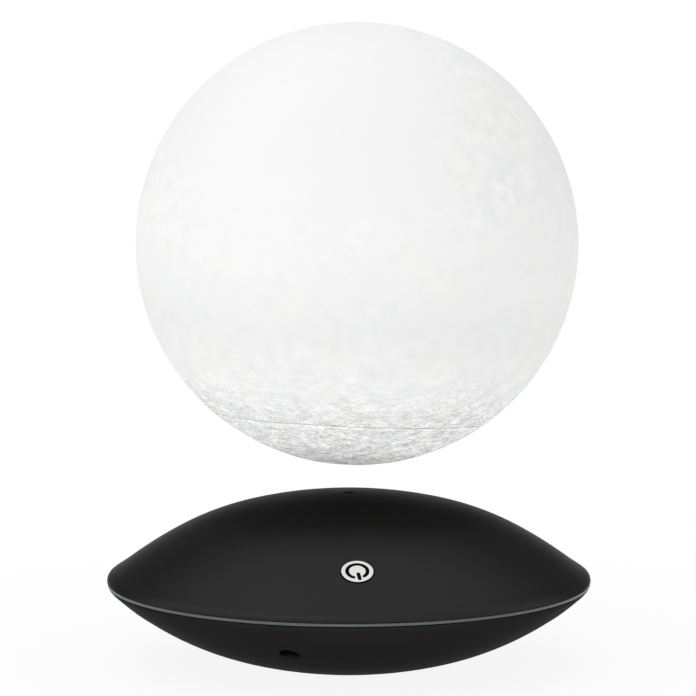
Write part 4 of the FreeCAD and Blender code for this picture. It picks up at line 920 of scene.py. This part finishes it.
def stroke(name, path, length):
    """Line of the symbol with round ends: its path carried sideways by half its width, from below to its top.

    path takes distances along the line and gives the points there and the directions, in the button's plane.
    Past each end the half width is the root of half the stroke squared less the way past the end squared.
    Across, the section is a box with soft corners: the sign of the cosine or sine times a power of its size.
    """
    half = SYMBOL_STROKE / 2
    ends = half * np.sin(np.linspace(-math.pi / 2, 0, SYMBOL_END_ROWS))
    middles = np.linspace(0, length, SYMBOL_ROWS)
    distances = np.concatenate([ends[:-1], middles, length - ends[::-1][1:]])
    inside = np.clip(distances, 0, length)
    over = distances - inside
    reach = np.sqrt(np.maximum(half ** 2 - over ** 2, 0))[:, None, None]
    middle, along = path(inside)
    spine = middle + along * over[:, None]
    aside = np.stack([-along[:, 1], along[:, 0]], axis=-1)
    around = np.linspace(0, 2 * np.pi, SYMBOL_COLUMNS, endpoint=False)
    across = np.sign(np.cos(around)) * np.abs(np.cos(around)) ** SYMBOL_SOFTNESS
    rise = np.sign(np.sin(around)) * np.abs(np.sin(around)) ** SYMBOL_SOFTNESS
    top = BUTTON_TOP + FACE_PROUD + SYMBOL_PROUD
    bottom = BUTTON_TOP - SYMBOL_DEPTH
    heights = (top + bottom) / 2 + (top - bottom) / 2 * rise
    flat = spine[:, None] + across[None, :, None] * reach * aside[:, None]
    heights = np.broadcast_to(heights[None, :, None], flat.shape[:2] + (1,))
    piece = ring_piece(name, on_button(np.concatenate([flat, heights], axis=-1)))
    # The strokes are darkened as black ink
    set_shade_and_ink(piece.data, np.ones(len(piece.data.polygons)))
    piece.data.materials.append(FINISHES["satin_black"])
    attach(piece, "button")


def power_symbol():
    """The usual power symbol: an open ring round a short bar that points out of its gap."""
    start = math.radians(SYMBOL_START)

    def ring(distances):
        """Places on a circle, where the angle is the distance over the radius, and the circle's tangents."""
        angle = start + distances / SYMBOL_RADIUS
        outwards = np.stack([np.cos(angle), np.sin(angle)], axis=-1)
        tangents = np.stack([-outwards[:, 1], outwards[:, 0]], axis=-1)
        return SYMBOL_RADIUS * outwards + [0.0, SYMBOL_RISE], tangents

    def bar(distances):
        """Places on a straight line, its start plus the distance times its direction, and that direction."""
        along = (np.array(BAR_TO) - BAR_FROM) / math.dist(BAR_FROM, BAR_TO)
        return BAR_FROM + distances[:, None] * along, np.broadcast_to(along, (len(distances), 2))

    stroke("symbol_ring", ring, SYMBOL_RADIUS * math.radians(SYMBOL_SWEEP))
    stroke("symbol_bar", bar, math.dist(BAR_FROM, BAR_TO))


def button_face():
    """White face of the button, let into its cap: a turned disc whose edge is rounded by a quarter circle."""
    profile = [(0.0, 0.0), (FACE_RADIUS / 2, 0.0)]
    for angle in np.linspace(0, math.pi / 2, 5):
        profile.append((FACE_RADIUS - FACE_ROUND + FACE_ROUND * math.sin(angle),
                        FACE_ROUND * math.cos(angle) - FACE_ROUND))
    profile += [(FACE_RADIUS, -FACE_DEPTH), (0.0, -FACE_DEPTH)]
    points = turned_points(profile, FACE_COLUMNS) + np.array([0.0, 0.0, BUTTON_TOP + FACE_PROUD])
    piece = ring_piece("button_face", on_button(points))
    piece.data.set_sharp_from_angle(angle=math.radians(TURNED_CREASE))
    piece.data.materials.append(FINISHES["button_grey"])
    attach(piece, "button")


def studio_white():
    """White of the floor: the camera and mirrors see it plain white, a little less so under the lamp.

    The share of plain white is a ramp of the distance from the axis for such rays, and 0 for all others.
    """
    made, tree, place, shader = new_material("studio_white")
    shader["Base Color"].default_value = rgb(FLOOR_WHITE, FLOOR_WHITE, FLOOR_WHITE)
    shader["Roughness"].default_value = 0.9
    shader["Specular IOR Level"].default_value = 0.1
    light = put(tree, "LightPath").outputs
    away = off_axis(tree, place)
    by_camera = times(tree, light["Is Camera Ray"], ramp(tree, away, 0.05, 0.3, 0.9, 1.0))
    mirrored = maths(tree, "MAXIMUM", light["Is Glossy Ray"], light["Is Transmission Ray"])
    by_mirror = times(tree, mirrored, ramp(tree, away, 0.0, 0.3, 0.6, 1.0))
    seen = maths(tree, "MAXIMUM", by_camera, by_mirror)
    white = put(tree, "Emission", {"Color": rgb(1, 1, 1), "Strength": 1.0})
    body = node_in(tree, "BSDF_PRINCIPLED")
    blend = put(tree, "MixShader", {0: seen, 1: body.outputs[0], 2: white.outputs[0]})
    tree.links.new(blend.outputs[0], node_in(tree, "OUTPUT_MATERIAL").inputs["Surface"])
    return made


def floor_and_backdrop():
    """White floor that curves up all round into a low wall: a profile turned round the Z axis."""
    profile = [(radius, 0.0) for radius in (0.0, 0.15, 0.4, 1.0, 2.5)]
    profile += [(FLOOR_REACH + FLOOR_CURVE * math.sin(angle), FLOOR_CURVE - FLOOR_CURVE * math.cos(angle))
                for angle in np.linspace(0, math.pi / 2, 9)]
    profile += [(FLOOR_REACH + FLOOR_CURVE, FLOOR_TOP)]
    points = turned_points(profile, FLOOR_COLUMNS)
    rows, columns = points.shape[:2]
    row = np.arange(rows - 1)[:, None] * columns
    here = (row + np.arange(columns)).ravel()
    after = (row + (np.arange(columns) + 1) % columns).ravel()
    faces = np.stack([here, here + columns, after + columns, after], axis=-1)
    mesh = bpy.data.meshes.new("studio_floor")
    mesh.from_pydata(points.reshape(-1, 3).tolist(), [], faces.tolist())
    shade_smooth(mesh)
    floor = linked("studio_floor", mesh)
    mesh.materials.append(studio_white())


def studio_world():
    """Plain sky, dim at the horizon and light overhead, and dimmer behind the lamp than before it.

    Its level is a ramp of the upward part of the direction times a ramp of how far the direction points back.
    """
    world = bpy.data.worlds.new("studio")
    bpy.context.scene.world = world
    world.use_nodes = True
    tree = world.node_tree
    tree.nodes.clear()
    towards = put(tree, "TexCoord").outputs["Generated"]
    by_height = ramp(tree, rising(tree, towards), 0.0, 0.9, SKY_HORIZON, SKY_OVERHEAD)
    by_side = ramp(tree, dot(tree, towards, SKY_BACKWARDS), -1.0, 1.0, SKY_FRONT, SKY_BEHIND)
    level = times(tree, by_height, by_side)
    colour = put(tree, "CombineColor", {0: level, 1: level, 2: level}).outputs[0]
    sky = put(tree, "Background", {"Color": colour, "Strength": 1.0})
    tree.links.new(sky.outputs[0], put(tree, "OutputWorld").inputs["Surface"])


def softbox(name, place, aim, side, power):
    """Square soft lamp that faces its aim."""
    light = bpy.data.lights.new(name, "AREA")
    light.shape = "RECTANGLE"
    light.size = side
    light.size_y = side
    light.energy = power
    lamp = linked(name, light)
    lamp.location = place
    lamp.rotation_euler = (Vector(aim) - Vector(place)).to_track_quat("-Z", "Y").to_euler()


def camera():
    """Camera that stands back from the lamp and a little to the side, and looks slightly down on it.

    Its place is the distance times the direction backwards, plus the side step times the direction sideways.
    """
    turn = math.radians(CAMERA_TURN)
    made = bpy.data.cameras.new("camera")
    made.lens = CAMERA_LENS
    made.sensor_width = CAMERA_SENSOR
    made.clip_start = CAMERA_NEAR
    made.clip_end = CAMERA_FAR
    seat = linked("camera", made)
    back = np.array([-math.sin(turn), -math.cos(turn)]) * CAMERA_DISTANCE
    side = np.array([math.cos(turn), -math.sin(turn)]) * CAMERA_SIDE
    seat.location = (back[0] + side[0], back[1] + side[1], CAMERA_HEIGHT)
    seat.rotation_euler = (math.radians(90 - CAMERA_PITCH), 0.0, -turn)
    bpy.context.scene.camera = seat


camera()
floor_and_backdrop()
studio_world()
for row in SOFTBOXES:
    softbox(*row)

FINISHES = {
    "satin_black": satin_black(),
    "milky_band": milky_band(),
    "printed_white": printed_white(),
    "button_grey": finish("button_grey", (0.75, 0.75, 0.74), 0.4, grain=0.0004, bump=0.000008, amount=0.04,
                          worn=0.2),
    "foot_rubber": finish("foot_rubber", (0.03, 0.03, 0.03), 0.8, grain=0.0004, bump=0.00003, dusty=0.2),
    "screw_steel": finish("screw_steel", (0.09, 0.09, 0.095), 0.42, metallic=1.0, grain=0.0003, worn=0.5),
    "inner_black": finish("inner_black", (0.05, 0.05, 0.055), 0.55, grain=0.0006, dusty=0.3),
    "inner_white": finish("inner_white", (0.72, 0.71, 0.67), 0.5, grain=0.0006, amount=0.05),
    "board_green": finish("board_green", (0.02, 0.13, 0.06), 0.35, grain=0.0008, amount=0.15),
    "board_white": finish("board_white", (0.8, 0.8, 0.78), 0.4, grain=0.0008, amount=0.04),
    "strip_white": finish("strip_white", (0.75, 0.74, 0.68), 0.45, grain=0.0008, amount=0.05),
    "ferrite": finish("ferrite", (0.06, 0.06, 0.065), 0.6, grain=0.0005, bump=0.00004, amount=0.2),
    "nickel": finish("nickel", (0.62, 0.61, 0.58), 0.22, metallic=1.0, grain=0.0006, bump=0.000006),
    "copper_wire": finish("copper_wire", (0.55, 0.2, 0.08), 0.35, metallic=1.0, grain=0.0003, bump=0.00003),
    "steel_core": finish("steel_core", (0.35, 0.35, 0.36), 0.45, metallic=1.0, grain=0.0004),
    "chip_black": finish("chip_black", (0.03, 0.03, 0.032), 0.5, grain=0.0003),
    "can_silver": finish("can_silver", (0.62, 0.63, 0.65), 0.35, metallic=1.0, grain=0.0005),
    "lamp_white": finish("lamp_white", (0.85, 0.84, 0.7), 0.25, grain=0.0006, amount=0.04),
    "lead_cover": finish("lead_cover", (0.04, 0.04, 0.04), 0.5, grain=0.0005, bump=0.00001, amount=0.15),
    "contact_metal": finish("contact_metal", (0.6, 0.55, 0.4), 0.3, metallic=1.0, grain=0.0004),
}

for part in frame["record"]["subparts"]:
    node = frame["nodes"][part["node"]]
    node.data.materials.clear()
    node.data.materials.append(FINISHES[part["material_slot"]])

globe(FINISHES["printed_white"])
cap(FINISHES["printed_white"])
smooth_copy("upper_case", "upper_shell", "satin_black", "base", lifted_upper)
# The screw wells take a painted shade, darker further in
skin_smoothed(smooth_copy("lower_case", "lower_shell", "satin_black", "base", lifted_lower, in_well).data)
# The cap's rim round the white face takes a painted shade, as of a shadow gap
smooth_copy("button_cap", "power_button", "satin_black", "button", shaded_and_inked=lambda points: points[:, 2] > 0)
band_ring()
button_face()
power_symbol()

scene = bpy.context.scene
scene.view_settings.view_transform = "Standard"
